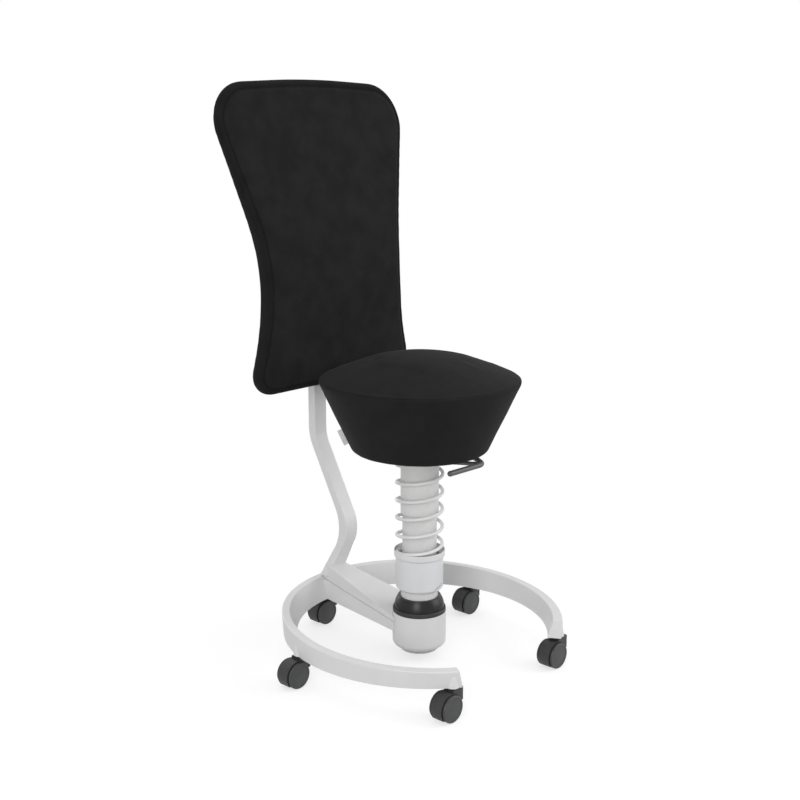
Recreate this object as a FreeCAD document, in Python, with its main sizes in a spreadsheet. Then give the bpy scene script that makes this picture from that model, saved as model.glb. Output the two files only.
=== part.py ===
import FreeCAD, Part
import math
import os

import Sketcher

# Wobble stool with a backrest: a cast C-shaped base on five twin-wheel casters, a sprung column that
# tilts on a gimbal in the hub, a padded round seat on a gas lift, and a padded back on a bent post.
# Millimetres. The origin is on the floor under the column, +Z up, the sitter faces -Y.

doc = FreeCAD.newDocument("wobble_stool")
sheet = doc.addObject("Spreadsheet::Sheet", "Sizes")

# Driving dimensions, each with a note for the sheet.
DIMENSIONS = [
    ("ring_rx", 283.5, "base ring: outer half width at its top edge"),
    ("ring_ry", 291.0, "base ring: outer half length at its top edge"),
    ("ring_shift", -7.4, "base ring: centre of the oval along Y"),
    ("ring_low", 60.5, "base ring: underside height"),
    ("ring_mid", 101.0, "base ring: top face height at the middle of the oval"),
    ("ring_rise", 0.0305, "base ring: slope of the top face, higher at the back"),
    ("ring_land", 17.0, "base ring: width of the top face"),
    ("ring_foot", 28.0, "base ring: width of the underside"),
    ("ring_draft", 2.5, "base ring: draft of the outer wall"),
    ("ring_edge", 2.0, "base ring: rounding of the top edges"),
    ("gap_half", 32.3, "base ring: half angle of the front gap at the underside"),
    ("gap_slant", 12.0, "base ring: slant of its two ends, which lean back from the gap"),
    ("spine_near", 25.0, "spine: end inside the hub"),
    ("spine_far", 275.0, "spine: end inside the ring"),
    ("spine_near_half", 51.0, "spine: half width at the hub"),
    ("spine_far_half", 18.7, "spine: half width at the ring"),
    ("spine_near_top", 80.5, "spine: top height at the hub"),
    ("spine_far_top", 105.5, "spine: top height at the ring"),
    ("hub_radius", 55.0, "hub: outside"),
    ("hub_bore", 47.0, "hub: inside"),
    ("hub_low", 27.0, "hub: underside height"),
    ("hub_floor", 36.5, "hub: inner floor height"),
    ("hub_top", 100.5, "hub: rim height"),
    ("hub_skirt", 83.5, "hub: ledge below the wide mouth"),
    ("hub_mouth", 52.4, "hub: wide mouth for the dome"),
    ("hub_edge", 11.0, "hub: rounding of the lower edge"),
    ("cap_plug", 20.0, "hub cap: plug"),
    ("cap_flange", 44.0, "hub cap: flange"),
    ("cap_low", 18.0, "hub cap: lowest height"),
    ("cap_edge", 6.0, "hub cap: bevel of the lower edge"),
    ("pivot_height", 105.0, "tilt centre above the floor"),
    ("dome_radius", 52.0, "dome: outside"),
    ("dome_wall", 3.5, "dome: wall"),
    ("dome_skirt", 9.5, "dome: lower edge below the tilt centre"),
    ("dome_top", 133.0, "dome: flat top round the neck"),
    ("gimbal_outer", 39.5, "gimbal ring: outside"),
    ("gimbal_inner", 31.0, "gimbal ring: inside"),
    ("gimbal_half", 8.0, "gimbal ring: half height"),
    ("pin_radius", 4.0, "gimbal pins"),
    ("pin_play", 0.05, "running clearance of the pins, on the radius"),
    ("ear_near", 40.5, "gimbal ear: inner face"),
    ("ear_far", 44.0, "gimbal ear: outer face"),
    ("trunnion_radius", 26.0, "column foot: trunnion between the pins"),
    ("neck_radius", 38.0, "column foot: neck above the dome"),
    ("neck_low", 130.0, "column foot: lower end of the neck"),
    ("neck_top", 147.7, "column foot: upper end of the neck"),
    ("cup_radius", 48.6, "spring cup: body"),
    ("cup_rim", 52.2, "spring cup: rim"),
    ("cup_low", 148.0, "spring cup: underside"),
    ("cup_ledge", 219.5, "spring cup: ledge under the spring"),
    ("cup_top", 232.0, "spring cup: rim height"),
    ("tube_radius", 35.0, "lower tube: outside"),
    ("tube_bore", 31.5, "lower tube: inside"),
    ("tube_top", 370.0, "lower tube: upper end"),
    ("sleeve_radius", 38.7, "upper tube: outside"),
    ("sleeve_bore", 36.5, "upper tube: inside"),
    ("sleeve_low", 311.0, "upper tube: lower end"),
    ("flange_radius", 49.5, "spring flange: outside"),
    ("flange_low", 424.0, "spring flange: underside"),
    ("flange_top", 432.0, "spring flange: top"),
    ("coil_radius", 46.3, "coil spring: middle of the wire"),
    ("wire_radius", 3.6, "coil spring: wire"),
    ("coil_pitch", 36.8, "coil spring: rise in one turn"),
    ("lift_radius", 25.0, "gas lift: guide tube"),
    ("lift_bore", 22.0, "gas lift: inside of the guide tube"),
    ("lift_low", 200.0, "gas lift: lower end of the guide tube"),
    ("cylinder_radius", 14.0, "gas lift: cylinder"),
    ("cylinder_low", 215.0, "gas lift: lower end of the cylinder"),
    ("cylinder_top", 450.0, "gas lift: upper end of the cylinder"),
    ("rod_radius", 5.0, "gas lift: piston rod"),
    ("seat_radius", 200.0, "seat: widest, at the seam"),
    ("seat_seam", 587.0, "seat: height of the seam"),
    ("seat_top", 634.0, "seat: top of the crown"),
    ("seat_low", 441.0, "seat: underside"),
    ("seat_low_radius", 136.0, "seat: radius at the underside"),
    ("board_radius", 126.0, "seat board: radius"),
    ("board_thick", 12.0, "seat board: thickness"),
    ("board_hole", 74.0, "seat board: hole over the mount"),
    ("mount_plate", 95.0, "seat mount: plate radius"),
    ("mount_thick", 5.0, "seat mount: plate thickness"),
    ("lever_radius", 5.5, "height lever: rod"),
    ("lever_height", 426.0, "height lever: middle of the rod"),
    ("lever_pivot", -58.0, "height lever: pivot along Y"),
    ("post_half_width", 17.0, "backrest post: half width"),
    ("post_half_depth", 10.5, "backrest post: half depth, measured level"),
    ("post_bend", 80.0, "backrest post: bend radius at the middle"),
    ("post_top", 720.0, "backrest post: upper end"),
    ("post_stand", 299.0, "backrest post: upright stretch along Y"),
    ("post_knee", 418.5, "backrest post: height of the upper bend"),
    ("post_waist", 196.4, "backrest post: lower bend along Y"),
    ("post_waist_height", 229.7, "backrest post: height of the lower bend"),
    ("post_edge", 2.0, "backrest post: rounding of the long edges"),
    ("root_half_width", 23.0, "backrest post: half width at its root"),
    ("root_flare_top", 182.0, "backrest post: height where it starts to widen to the root"),
    ("foot_near", 18.0, "post foot: end at the hub"),
    ("foot_far", 265.0, "post foot: end at the ring"),
    ("foot_near_top", 88.9, "post foot: top at the hub"),
    ("foot_far_top", 141.2, "post foot: top at the ring"),
    ("foot_lift", 1.5, "post foot: open line between its edge and the spine"),
    ("plinth_inset", 3.5, "post foot: plinth set in from its edge"),
    ("back_middle", 242.5, "backrest: middle of the pad along Y, upright part"),
    ("back_half", 28.0, "backrest: half thickness"),
    ("back_low", 541.0, "backrest: lower edge"),
    ("back_low_half", 217.0, "backrest: half width at the lower corners, before rounding"),
    ("back_waist", 744.0, "backrest: height of the waist"),
    ("back_waist_half", 163.0, "backrest: half width at the waist, before rounding"),
    ("back_shoulder", 1157.0, "backrest: height of the upper corners, before rounding"),
    ("back_shoulder_half", 249.0, "backrest: half width at the upper corners, before rounding"),
    ("back_top", 1166.0, "backrest: top"),
    ("back_bend", 790.0, "backrest: height of the bend"),
    ("back_lean", 0.2165, "backrest: lean of the upper part"),
    ("back_radius", 700.0, "backrest: radius of the bend"),
    ("caster_inset", 10.0, "casters: stem inside the outer edge of the ring"),
    ("caster_front", 36.5, "casters: angle of the front pair from the front"),
    ("caster_side", 108.0, "casters: angle of the side pair from the front"),
    ("wheel_radius", 26.5, "casters: wheel"),
    ("wheel_width", 12.5, "casters: width of one wheel"),
    ("wheel_groove", 2.4, "casters: groove between tread and cover disc, depth and width"),
    ("wheel_inner", 7.0, "casters: inner face of a wheel from the middle"),
    ("caster_trail", 18.5, "casters: axle behind the stem"),
    ("hood_radius", 28.7, "casters: hood"),
    ("hood_half", 13.2, "casters: half width of the hood"),
    ("hood_web", 6.5, "casters: half thickness of the wall between the wheels"),
    ("hood_room", 27.1, "casters: room for a wheel in the hood"),
    ("hood_low", 8.0, "casters: lower edge of the hood"),
    ("hood_top", 58.5, "casters: top of the stem housing"),
    ("neck_half", 11.4, "casters: half width of the stem housing"),
    ("neck_front", 19.0, "casters: front of the stem housing from the stem"),
    ("stem_radius", 5.5, "casters: stem"),
    ("stem_top", 86.0, "casters: upper end of the stem"),
    ("stem_root", 4.0, "casters: thin end of the stem in the hood"),
    ("stem_low", 34.0, "casters: lower end of the stem"),
    ("socket_radius", 7.5, "casters: socket sleeve"),
]
for row, (alias, value, note) in enumerate(DIMENSIONS, start=1):
    sheet.set(f"A{row}", note)
    sheet.set(f"B{row}", str(value))
    sheet.setAlias(f"B{row}", alias)
doc.recompute()

PARTS = []


def size(alias):
    return float(sheet.get(alias))


def keep(item, label):
    """Give a finished sub-part its name and list it for writing."""
    item.Label = label
    PARTS.append(item)
    return item


def bind(item, **sizes):
    """Bind properties to cells: a name such as Placement_Base_z stands for Placement.Base.z."""
    for name, expression in sizes.items():
        item.setExpression(name.replace("_", "."), expression)
    return item


def origin_plane(body, role):
    return next(plane for plane in body.Origin.OriginFeatures if plane.Role == role)


def outline(body, name, role, corners):
    """A closed sketch whose corners are pairs of expressions."""
    sketch = body.newObject("Sketcher::SketchObject", name)
    sketch.AttachmentSupport = [(origin_plane(body, role), "")]
    sketch.MapMode = "FlatFace"
    count = len(corners)
    turns = [2 * math.pi * k / count for k in range(count)]
    spots = [FreeCAD.Vector(math.cos(turn), math.sin(turn), 0) for turn in turns]
    for k in range(count):
        sketch.addGeometry(Part.LineSegment(spots[k], spots[(k + 1) % count]), False)
    for k in range(count):
        sketch.addConstraint(Sketcher.Constraint("Coincident", k, 2, (k + 1) % count, 1))
    for k, corner in enumerate(corners):
        for kind, expression in zip(("DistanceX", "DistanceY"), corner):
            place = sketch.addConstraint(Sketcher.Constraint(kind, -1, 1, k, 1, 1.0))
            sketch.setExpression(f"Constraints[{place}]", expression)
    return sketch


def lathe(name, corners):
    """A body turned about Z from a profile of (radius, height) expressions."""
    body = doc.addObject("PartDesign::Body", name)
    profile = outline(body, f"{name}_profile", "XZ_Plane", corners)
    turned = body.newObject("PartDesign::Revolution", f"{name}_turned")
    turned.Profile = profile
    turned.ReferenceAxis = (profile, ["V_Axis"])
    turned.Angle = 360
    return body


def ring(name, inner, outer, low, high):
    """A plain round sleeve about Z."""
    return lathe(name, [(inner, low), (outer, low), (outer, high), (inner, high)])


def slab(name, role, corners, depth):
    """A body padded to both sides of an origin plane."""
    body = doc.addObject("PartDesign::Body", name)
    pad = body.newObject("PartDesign::Pad", f"{name}_pad")
    pad.Profile = outline(body, f"{name}_outline", role, corners)
    pad.Midplane = True
    pad.setExpression("Length", depth)
    return body


def rounded(body, name, radius, wanted):
    """Round the edges of a body that the test picks."""
    doc.recompute()
    sharp = body.Tip
    edges = [f"Edge{k}" for k, edge in enumerate(sharp.Shape.Edges, start=1) if wanted(edge)]
    fillet = body.newObject("PartDesign::Fillet", name)
    fillet.Base = (sharp, edges)
    fillet.setExpression("Radius", radius)
    return body


def cylinder(name, radius, length, x="0", y="0", z="0", along="Z"):
    """A round bar that starts at a point and runs along an axis."""
    bar = doc.addObject("Part::Cylinder", name)
    turns = {"X": FreeCAD.Rotation(FreeCAD.Vector(0, 1, 0), 90),
             "Y": FreeCAD.Rotation(FreeCAD.Vector(1, 0, 0), -90)}
    bar.Placement.Rotation = turns.get(along, FreeCAD.Rotation())
    return bind(bar, Radius=radius, Height=length, Placement_Base_x=x, Placement_Base_y=y,
                Placement_Base_z=z)


def block(name, length, width, height, x, y, z):
    box = doc.addObject("Part::Box", name)
    return bind(box, Length=length, Width=width, Height=height, Placement_Base_x=x, Placement_Base_y=y,
                Placement_Base_z=z)


def fuse(name, items):
    whole = doc.addObject("Part::MultiFuse", name)
    whole.Shapes = items
    whole.Refine = True
    return whole


def group(name, items):
    whole = doc.addObject("Part::Compound", name)
    whole.Links = items
    return whole


def cut(name, base, tool):
    rest = doc.addObject("Part::Cut", name)
    rest.Base = base
    rest.Tool = tool
    rest.Refine = True
    return rest


def common(name, first, second):
    shared = doc.addObject("Part::Common", name)
    shared.Base = first
    shared.Tool = second
    return shared


def edged(name, solid, alias, wanted):
    """Round the edges of an assembled solid that the test picks."""
    doc.recompute()
    radius = size(alias)
    fillet = doc.addObject("Part::Fillet", name)
    fillet.Base = solid
    edges = enumerate(solid.Shape.Edges, start=1)
    fillet.Edges = [(k, radius, radius) for k, edge in edges if wanted(edge)]
    return fillet


def oval(name, inset, height):
    """One oval edge of the base ring, set in from the outer top edge."""
    edge = doc.addObject("Part::Ellipse", name)
    edge.Placement.Rotation = FreeCAD.Rotation(FreeCAD.Vector(0, 0, 1), -90)
    return bind(edge, MajorRadius=f"Sizes.ring_ry - ({inset})", MinorRadius=f"Sizes.ring_rx - ({inset})",
                Placement_Base_y="Sizes.ring_shift", Placement_Base_z=height)


def loft(name, sections):
    body = doc.addObject("Part::Loft", name)
    body.Sections = sections
    body.Solid = True
    body.Ruled = True
    return body


# Caster places: two at the ends of the ring, two at the sides, one at the back.
def caster_place(angle):
    x = f"(Sizes.ring_rx - Sizes.caster_inset) * sin({angle})"
    y = f"Sizes.ring_shift - (Sizes.ring_ry - Sizes.caster_inset) * cos({angle})"
    return x, y


CASTERS = {
    "front_left": caster_place("-Sizes.caster_front * 1 deg"),
    "front_right": caster_place("Sizes.caster_front * 1 deg"),
    "side_left": caster_place("-Sizes.caster_side * 1 deg"),
    "side_right": caster_place("Sizes.caster_side * 1 deg"),
    "back": caster_place("180 deg"),
}


# Base casting: an oval ring open at the front, a flared spine from its back, and the hub cup.
# The ring is wider below than above, its top face falls towards the front, and its ends slant.
RING_BLANK = "20"
outer = loft("ring_outer", [oval("ring_outer_low", "Sizes.ring_draft", "Sizes.ring_low"),
                            oval("ring_outer_high", f"-Sizes.ring_draft * {RING_BLANK} / 40",
                                 f"Sizes.ring_mid + {RING_BLANK}")])
inner = loft("ring_inner", [oval("ring_inner_low", "Sizes.ring_draft + Sizes.ring_foot", "Sizes.ring_low"),
                            oval("ring_inner_high",
                                 "Sizes.ring_land - (Sizes.ring_foot - Sizes.ring_land) * 0.5",
                                 f"Sizes.ring_mid + {RING_BLANK}")])
ring_band = cut("ring_band", outer, inner)
lid = slab("ring_lid", "YZ_Plane", [
    ("-400", "Sizes.ring_mid - 400 * Sizes.ring_rise"),
    ("400", "Sizes.ring_mid + 400 * Sizes.ring_rise"),
    ("400", "Sizes.ring_mid + 60"),
    ("-400", "Sizes.ring_mid + 60"),
], "800")
MOUTH_REACH = "500"
MOUTH_HALF = f"{MOUTH_REACH} * tan(Sizes.gap_half * 1 deg)"
mouth = doc.addObject("PartDesign::Body", "ring_mouth")
mouth_pad = mouth.newObject("PartDesign::Pad", "ring_mouth_pad")
mouth_pad.Profile = outline(mouth, "ring_mouth_outline", "XY_Plane", [
    ("0", "Sizes.ring_shift"),
    (f"-{MOUTH_HALF}", f"Sizes.ring_shift - {MOUTH_REACH}"),
    (MOUTH_HALF, f"Sizes.ring_shift - {MOUTH_REACH}"),
])
bind(mouth_pad, Length="120", TaperAngle="Sizes.gap_slant * 1 deg")
bind(mouth, Placement_Base_z="Sizes.ring_low")
open_ring = edged("ring_edged", cut("ring_open", cut("ring_sloped", ring_band, lid), mouth), "ring_edge",
                  lambda edge: edge.CenterOfMass.z > size("ring_mid") - 15 and edge.Length > 200)

spine = doc.addObject("Part::Wedge", "spine_wedge")
bind(spine, Xmin="-Sizes.spine_near_half", Xmax="Sizes.spine_near_half", X2min="-Sizes.spine_far_half",
     X2max="Sizes.spine_far_half", Ymin="Sizes.spine_near", Ymax="Sizes.spine_far", Zmin="Sizes.ring_low",
     Zmax="Sizes.spine_near_top", Z2min="Sizes.ring_low", Z2max="Sizes.spine_far_top")

hub = lathe("hub_blank", [("0", "Sizes.hub_low"), ("Sizes.hub_radius", "Sizes.hub_low"),
                          ("Sizes.hub_radius", "Sizes.hub_top"), ("0", "Sizes.hub_top")])
rounded(hub, "hub_lower_edge", "Sizes.hub_edge",
        lambda edge: abs(edge.BoundBox.ZMax - size("hub_low")) < 0.01 and edge.Length > 10)

bosses = []
for place, (x, y) in CASTERS.items():
    boss = doc.addObject("Part::Cone", f"caster_boss_{place}")
    bosses.append(bind(boss, Radius1="12.8", Radius2="8.4", Height="28", Placement_Base_x=x,
                       Placement_Base_y=y,
                       Placement_Base_z="Sizes.ring_low"))

bore = lathe("hub_hollow", [
    ("0", "Sizes.hub_low - 1"), ("Sizes.cap_plug", "Sizes.hub_low - 1"),
    ("Sizes.cap_plug", "Sizes.hub_floor"),
    ("Sizes.hub_bore", "Sizes.hub_floor"), ("Sizes.hub_bore", "Sizes.hub_skirt"),
    ("Sizes.hub_mouth", "Sizes.hub_skirt"), ("Sizes.hub_mouth", "Sizes.hub_top + 30"),
    ("0", "Sizes.hub_top + 30"),
])

# Two ears in the hub carry the outer gimbal pins.
EAR_HALF = "7"
ears = []
for side, start in (("front", "-Sizes.ear_far"), ("back", "Sizes.ear_near")):
    ears.append(block(f"ear_{side}", f"2 * {EAR_HALF}", "Sizes.ear_far - Sizes.ear_near",
                      "Sizes.pivot_height + Sizes.gimbal_half - Sizes.hub_floor - 10", f"-{EAR_HALF}", start,
                      "Sizes.hub_floor + 10"))
    wall = "-Sizes.hub_bore - 1" if side == "front" else "Sizes.ear_far"
    ears.append(block(f"ear_root_{side}", f"2 * {EAR_HALF}", "Sizes.hub_bore + 1 - Sizes.ear_far", "30",
                      f"-{EAR_HALF}",
                      wall, "Sizes.hub_floor + 10"))
pin_holes = cylinder("ear_pin_holes", "Sizes.pin_radius", "120", y="-60", z="Sizes.pivot_height", along="Y")
stem_holes = [cylinder(f"stem_hole_{place}", "Sizes.socket_radius",
                       "Sizes.stem_top + 1 - Sizes.ring_low + 5", x, y,
                       "Sizes.ring_low - 5") for place, (x, y) in CASTERS.items()]

# Screws from below hold the foot of the backrest post on the spine, their heads sunk in the casting.
POST_SCREWS = ("95", "160", "225")
SCREW_HEAD = ("7", "6")
SCREW_RADIUS = "4"
SCREW_GRIP = "12"
spine_slope = "(Sizes.spine_far_top - Sizes.spine_near_top) / (Sizes.spine_far - Sizes.spine_near)"
spine_flare = "(Sizes.spine_near_half - Sizes.spine_far_half) / (Sizes.spine_far - Sizes.spine_near)"


def spine_top(y):
    return f"Sizes.spine_near_top + ({y} - Sizes.spine_near) * {spine_slope}"


def spine_half(y):
    return f"(Sizes.spine_near_half - ({y} - Sizes.spine_near) * {spine_flare})"


def post_screw(name, y):
    head = cylinder(f"{name}_head", SCREW_HEAD[0], SCREW_HEAD[1], y=y, z="Sizes.ring_low")
    shank = cylinder(f"{name}_shank", SCREW_RADIUS, f"{spine_top(y)} + {SCREW_GRIP} - Sizes.ring_low",
                     y=y, z="Sizes.ring_low")
    return fuse(name, [head, shank])


casting = fuse("base_solid", [open_ring, spine, hub] + bosses)
hollowed = fuse("base_with_ears", [cut("base_hollow", casting, bore)] + ears)
base_tools = fuse("base_tools", [pin_holes] + stem_holes + [post_screw(f"post_hole_{k}", y)
                                                           for k, y in enumerate(POST_SCREWS)])
keep(cut("base_casting", hollowed, base_tools), "base_frame")
keep(group("post_screw_set", [post_screw(f"post_screw_{k}", y) for k, y in enumerate(POST_SCREWS)]),
     "post_screws")

sleeves = [cut(f"socket_{place}",
               cylinder(f"socket_outer_{place}", "Sizes.socket_radius",
                        "Sizes.stem_top + 1 - Sizes.ring_low", x, y,
                        "Sizes.ring_low"),
               cylinder(f"socket_inner_{place}", "Sizes.stem_radius + Sizes.pin_play", "60", x, y,
                        "Sizes.ring_low - 5"))
           for place, (x, y) in CASTERS.items()]
keep(group("socket_set", sleeves), "caster_sockets")

# Bottom cap of the hub, with two key notches in its rim.
cap = lathe("cap_blank", [
    ("0", "Sizes.cap_low"), ("Sizes.cap_flange - Sizes.cap_edge", "Sizes.cap_low"),
    ("Sizes.cap_flange", "Sizes.cap_low + Sizes.cap_edge"),
    ("Sizes.cap_flange", "Sizes.hub_low"), ("Sizes.cap_plug", "Sizes.hub_low"),
    ("Sizes.cap_plug", "Sizes.hub_floor - 2"), ("0", "Sizes.hub_floor - 2"),
])
KEY_TURNS = (42.0, 222.0)
key_blocks = []
for k, degrees in enumerate(KEY_TURNS):
    key_turn = FreeCAD.Rotation(FreeCAD.Vector(0, 0, 1), degrees)
    key_spot = key_turn.multVec(FreeCAD.Vector(size("cap_flange") - 7, -3, size("cap_low") - 1))
    key = bind(doc.addObject("Part::Box", f"cap_key_{k}"), Length="8", Width="6", Height="8")
    key.Placement = FreeCAD.Placement(key_spot, key_turn)
    key_blocks.append(key)
keys = fuse("cap_keys", key_blocks)
keep(cut("cap_notched", cap, keys), "hub_cap")

# A soft lip on the hub's rim wipes the dome.
keep(lathe("lip", [
    ("Sizes.hub_mouth", "Sizes.hub_top"), ("Sizes.hub_radius - 0.8", "Sizes.hub_top"),
    ("Sizes.hub_radius - 0.4", "Sizes.hub_top + 3.5"), ("Sizes.hub_radius - 0.8", "Sizes.hub_top + 7"),
    ("Sizes.hub_radius - 1.8", "Sizes.hub_top + 9"), ("Sizes.hub_mouth", "Sizes.hub_top + 7.6"),
]), "hub_lip")

# Rubber buffer in the hub under the column foot.
keep(lathe("buffer", [
    ("16", "Sizes.hub_floor"), ("40", "Sizes.hub_floor"), ("40", "Sizes.hub_floor + 26"),
    ("35", "Sizes.hub_floor + 40"),
    ("35", "Sizes.hub_floor + 47"), ("16", "Sizes.hub_floor + 47"),
]), "tilt_buffer")

# Gimbal: a ring that swings on two pins in the hub and carries two more pins for the column.
PIN_START = "32"
outer_pins = [cylinder("hub_pin_front", "Sizes.pin_radius", f"Sizes.ear_far - {PIN_START}",
                       y="-Sizes.ear_far",
                       z="Sizes.pivot_height", along="Y"),
              cylinder("hub_pin_back", "Sizes.pin_radius", f"Sizes.ear_far - {PIN_START}", y=PIN_START,
                       z="Sizes.pivot_height", along="Y")]
keep(group("hub_pin_set", outer_pins), "hub_pins")
gimbal = ring("gimbal_blank", "Sizes.gimbal_inner", "Sizes.gimbal_outer",
              "Sizes.pivot_height - Sizes.gimbal_half",
              "Sizes.pivot_height + Sizes.gimbal_half")
cross = fuse("gimbal_holes", [
    cylinder("gimbal_hole_y", "Sizes.pin_radius + Sizes.pin_play", "120", y="-60", z="Sizes.pivot_height",
             along="Y"),
    cylinder("gimbal_hole_x", "Sizes.pin_radius", "120", x="-60", z="Sizes.pivot_height", along="X")])
keep(cut("gimbal_drilled", gimbal, cross), "gimbal_ring")
INNER_PIN = "18"
inner_pins = [cylinder("column_pin_left", "Sizes.pin_radius", f"Sizes.gimbal_outer - 0.5 - {INNER_PIN}",
                       x="-Sizes.gimbal_outer + 0.5", z="Sizes.pivot_height", along="X"),
              cylinder("column_pin_right", "Sizes.pin_radius", f"Sizes.gimbal_outer - 0.5 - {INNER_PIN}",
                       x=INNER_PIN,
                       z="Sizes.pivot_height", along="X")]
keep(group("column_pin_set", inner_pins), "column_pins")

# Column foot: the trunnion between the pins, the neck, and a hollow spigot for the lower tube.
FOOT_WELL = "140"
column_foot = lathe("foot_blank", [
    ("0", "Sizes.pivot_height - 15"), ("Sizes.trunnion_radius", "Sizes.pivot_height - 15"),
    ("Sizes.trunnion_radius", "Sizes.pivot_height + 15"), ("Sizes.neck_radius", "Sizes.neck_low"),
    ("Sizes.neck_radius", "Sizes.neck_top"), ("Sizes.tube_bore", "Sizes.neck_top"),
    ("Sizes.tube_bore", "Sizes.neck_top + 24"), ("Sizes.lift_radius + 2", "Sizes.neck_top + 24"),
    ("Sizes.lift_radius + 2", FOOT_WELL), ("0", FOOT_WELL),
])
keep(cut("foot_drilled", column_foot, cylinder("trunnion_hole", "Sizes.pin_radius + Sizes.pin_play", "80",
                                               x="-40",
                                        z="Sizes.pivot_height", along="X")), "column_foot")

# Black dome over the gimbal: a hollow ball centred on the tilt, flat on top where the neck comes through.
ball = doc.addObject("Part::Sphere", "dome_ball")
bind(ball, Radius="Sizes.dome_radius", Placement_Base_z="Sizes.pivot_height")
hollow = doc.addObject("Part::Sphere", "dome_hollow")
bind(hollow, Radius="Sizes.dome_radius - Sizes.dome_wall", Placement_Base_z="Sizes.pivot_height")
under_roof = block("dome_under_roof", "200", "200", "200", "-100", "-100",
                   "Sizes.dome_top - Sizes.dome_wall - 200")
dome_waste = fuse("dome_waste", [
    common("dome_room", hollow, under_roof),
    cylinder("dome_throat", "Sizes.neck_radius", "100", z="Sizes.pivot_height"),
    block("dome_above", "200", "200", "100", "-100", "-100", "Sizes.dome_top"),
    block("dome_below", "200", "200", "100", "-100", "-100", "Sizes.pivot_height - Sizes.dome_skirt - 100")])
keep(cut("dome_shell", ball, dome_waste), "hub_dome")

# Lower tube and its slide bush, and the adjusting cup that the spring stands in.
keep(ring("lower_tube_wall", "Sizes.tube_bore", "Sizes.tube_radius", "Sizes.neck_top", "Sizes.tube_top"),
     "lower_tube")
keep(ring("lower_bush_wall", "Sizes.tube_radius", "Sizes.sleeve_bore - Sizes.pin_play",
          "Sizes.tube_top - 26",
          "Sizes.tube_top"), "lower_bush")
CUP_WALL = "4.1"
cup = lathe("cup_blank_turned", [
    ("Sizes.tube_radius + 0.1", "Sizes.cup_low"), ("Sizes.neck_radius + 0.5", "Sizes.cup_low"),
    ("Sizes.cup_radius - 3.1", "Sizes.cup_low + 2.6"), ("Sizes.cup_radius - 0.7", "Sizes.cup_low + 5.2"),
    ("Sizes.cup_radius", "Sizes.cup_low + 8.5"), ("Sizes.cup_radius", "Sizes.cup_ledge - 2.5"),
    ("Sizes.cup_rim - 0.6", "Sizes.cup_ledge"), ("Sizes.cup_rim", "Sizes.cup_ledge + 1.5"),
    ("Sizes.cup_rim", "Sizes.cup_top - 1"), ("Sizes.cup_rim - 0.7", "Sizes.cup_top"),
    ("Sizes.cup_rim - 1.5", "Sizes.cup_top"),
    ("Sizes.cup_rim - 1.5", "Sizes.cup_ledge"), (f"Sizes.cup_radius - {CUP_WALL}", "Sizes.cup_ledge"),
    (f"Sizes.cup_radius - {CUP_WALL}", "Sizes.cup_low + 14"),
    ("Sizes.tube_radius + 0.1", "Sizes.cup_low + 10"),
])
ramp = block("cup_ramp", "26", "6", "3", "-6", "-Sizes.cup_radius - 1", "Sizes.cup_low + 6.4")
ramp.Placement.Rotation = FreeCAD.Rotation(FreeCAD.Vector(0, 1, 0), -17)
keep(cut("cup_grooved", cup, ramp), "spring_cup")

# Coil spring, right-handed, from the ledge of the cup to the flange.
COIL_GAP = 0.3
coil_low = size("cup_ledge") + size("wire_radius") + COIL_GAP
coil_height = size("flange_low") - size("wire_radius") - COIL_GAP - coil_low
COIL_START_DEG = 107.8
helix = Part.makeHelix(size("coil_pitch"), coil_height, size("coil_radius"))
coil_start = FreeCAD.Vector(size("coil_radius"), 0, 0)
coil_rise = FreeCAD.Vector(0, 1, size("coil_pitch") / (2 * math.pi * size("coil_radius")))
wire_section = Part.Wire(Part.makeCircle(size("wire_radius"), coil_start, coil_rise))
coil = doc.addObject("Part::Feature", "coil_shape")
coil.Shape = Part.Wire(helix).makePipeShell([wire_section], True, True)
coil_turn = FreeCAD.Rotation(FreeCAD.Vector(0, 0, 1), COIL_START_DEG)
coil.Placement = FreeCAD.Placement(FreeCAD.Vector(0, 0, coil_low), coil_turn)
keep(coil, "coil_spring")

# Upper tube, its bush and the flange that the spring pushes up; the gas lift's guide tube hangs inside.
keep(ring("upper_tube_wall", "Sizes.sleeve_bore", "Sizes.sleeve_radius", "Sizes.sleeve_low",
          "Sizes.flange_low"), "upper_tube")
keep(ring("upper_bush_wall", "Sizes.tube_radius + Sizes.pin_play", "Sizes.sleeve_bore", "Sizes.sleeve_low",
          "Sizes.sleeve_low + 22"), "upper_bush")
keep(lathe("flange_disc", [
    ("Sizes.lift_radius", "Sizes.flange_low"), ("Sizes.sleeve_radius", "Sizes.flange_low"),
    ("Sizes.sleeve_radius", "Sizes.flange_low - 5"), ("Sizes.sleeve_radius + 2.5", "Sizes.flange_low - 5"),
    ("Sizes.sleeve_radius + 2.5", "Sizes.flange_low"), ("Sizes.flange_radius - 1", "Sizes.flange_low"),
    ("Sizes.flange_radius", "Sizes.flange_low + 1"), ("Sizes.flange_radius", "Sizes.flange_top - 2"),
    ("Sizes.flange_radius - 2", "Sizes.flange_top"), ("Sizes.lift_radius", "Sizes.flange_top"),
]), "spring_flange")
keep(ring("guide_wall", "Sizes.lift_bore", "Sizes.lift_radius", "Sizes.lift_low", "Sizes.flange_top"),
     "guide_tube")
keep(ring("guide_bush_wall", "Sizes.cylinder_radius + Sizes.pin_play", "Sizes.lift_bore",
          "Sizes.flange_top - 75",
          "Sizes.flange_top"), "guide_bush")
keep(ring("end_plate_disc", "Sizes.rod_radius + Sizes.pin_play", "Sizes.lift_bore", "Sizes.lift_low",
          "Sizes.lift_low + 6"), "lift_end_plate")

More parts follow.
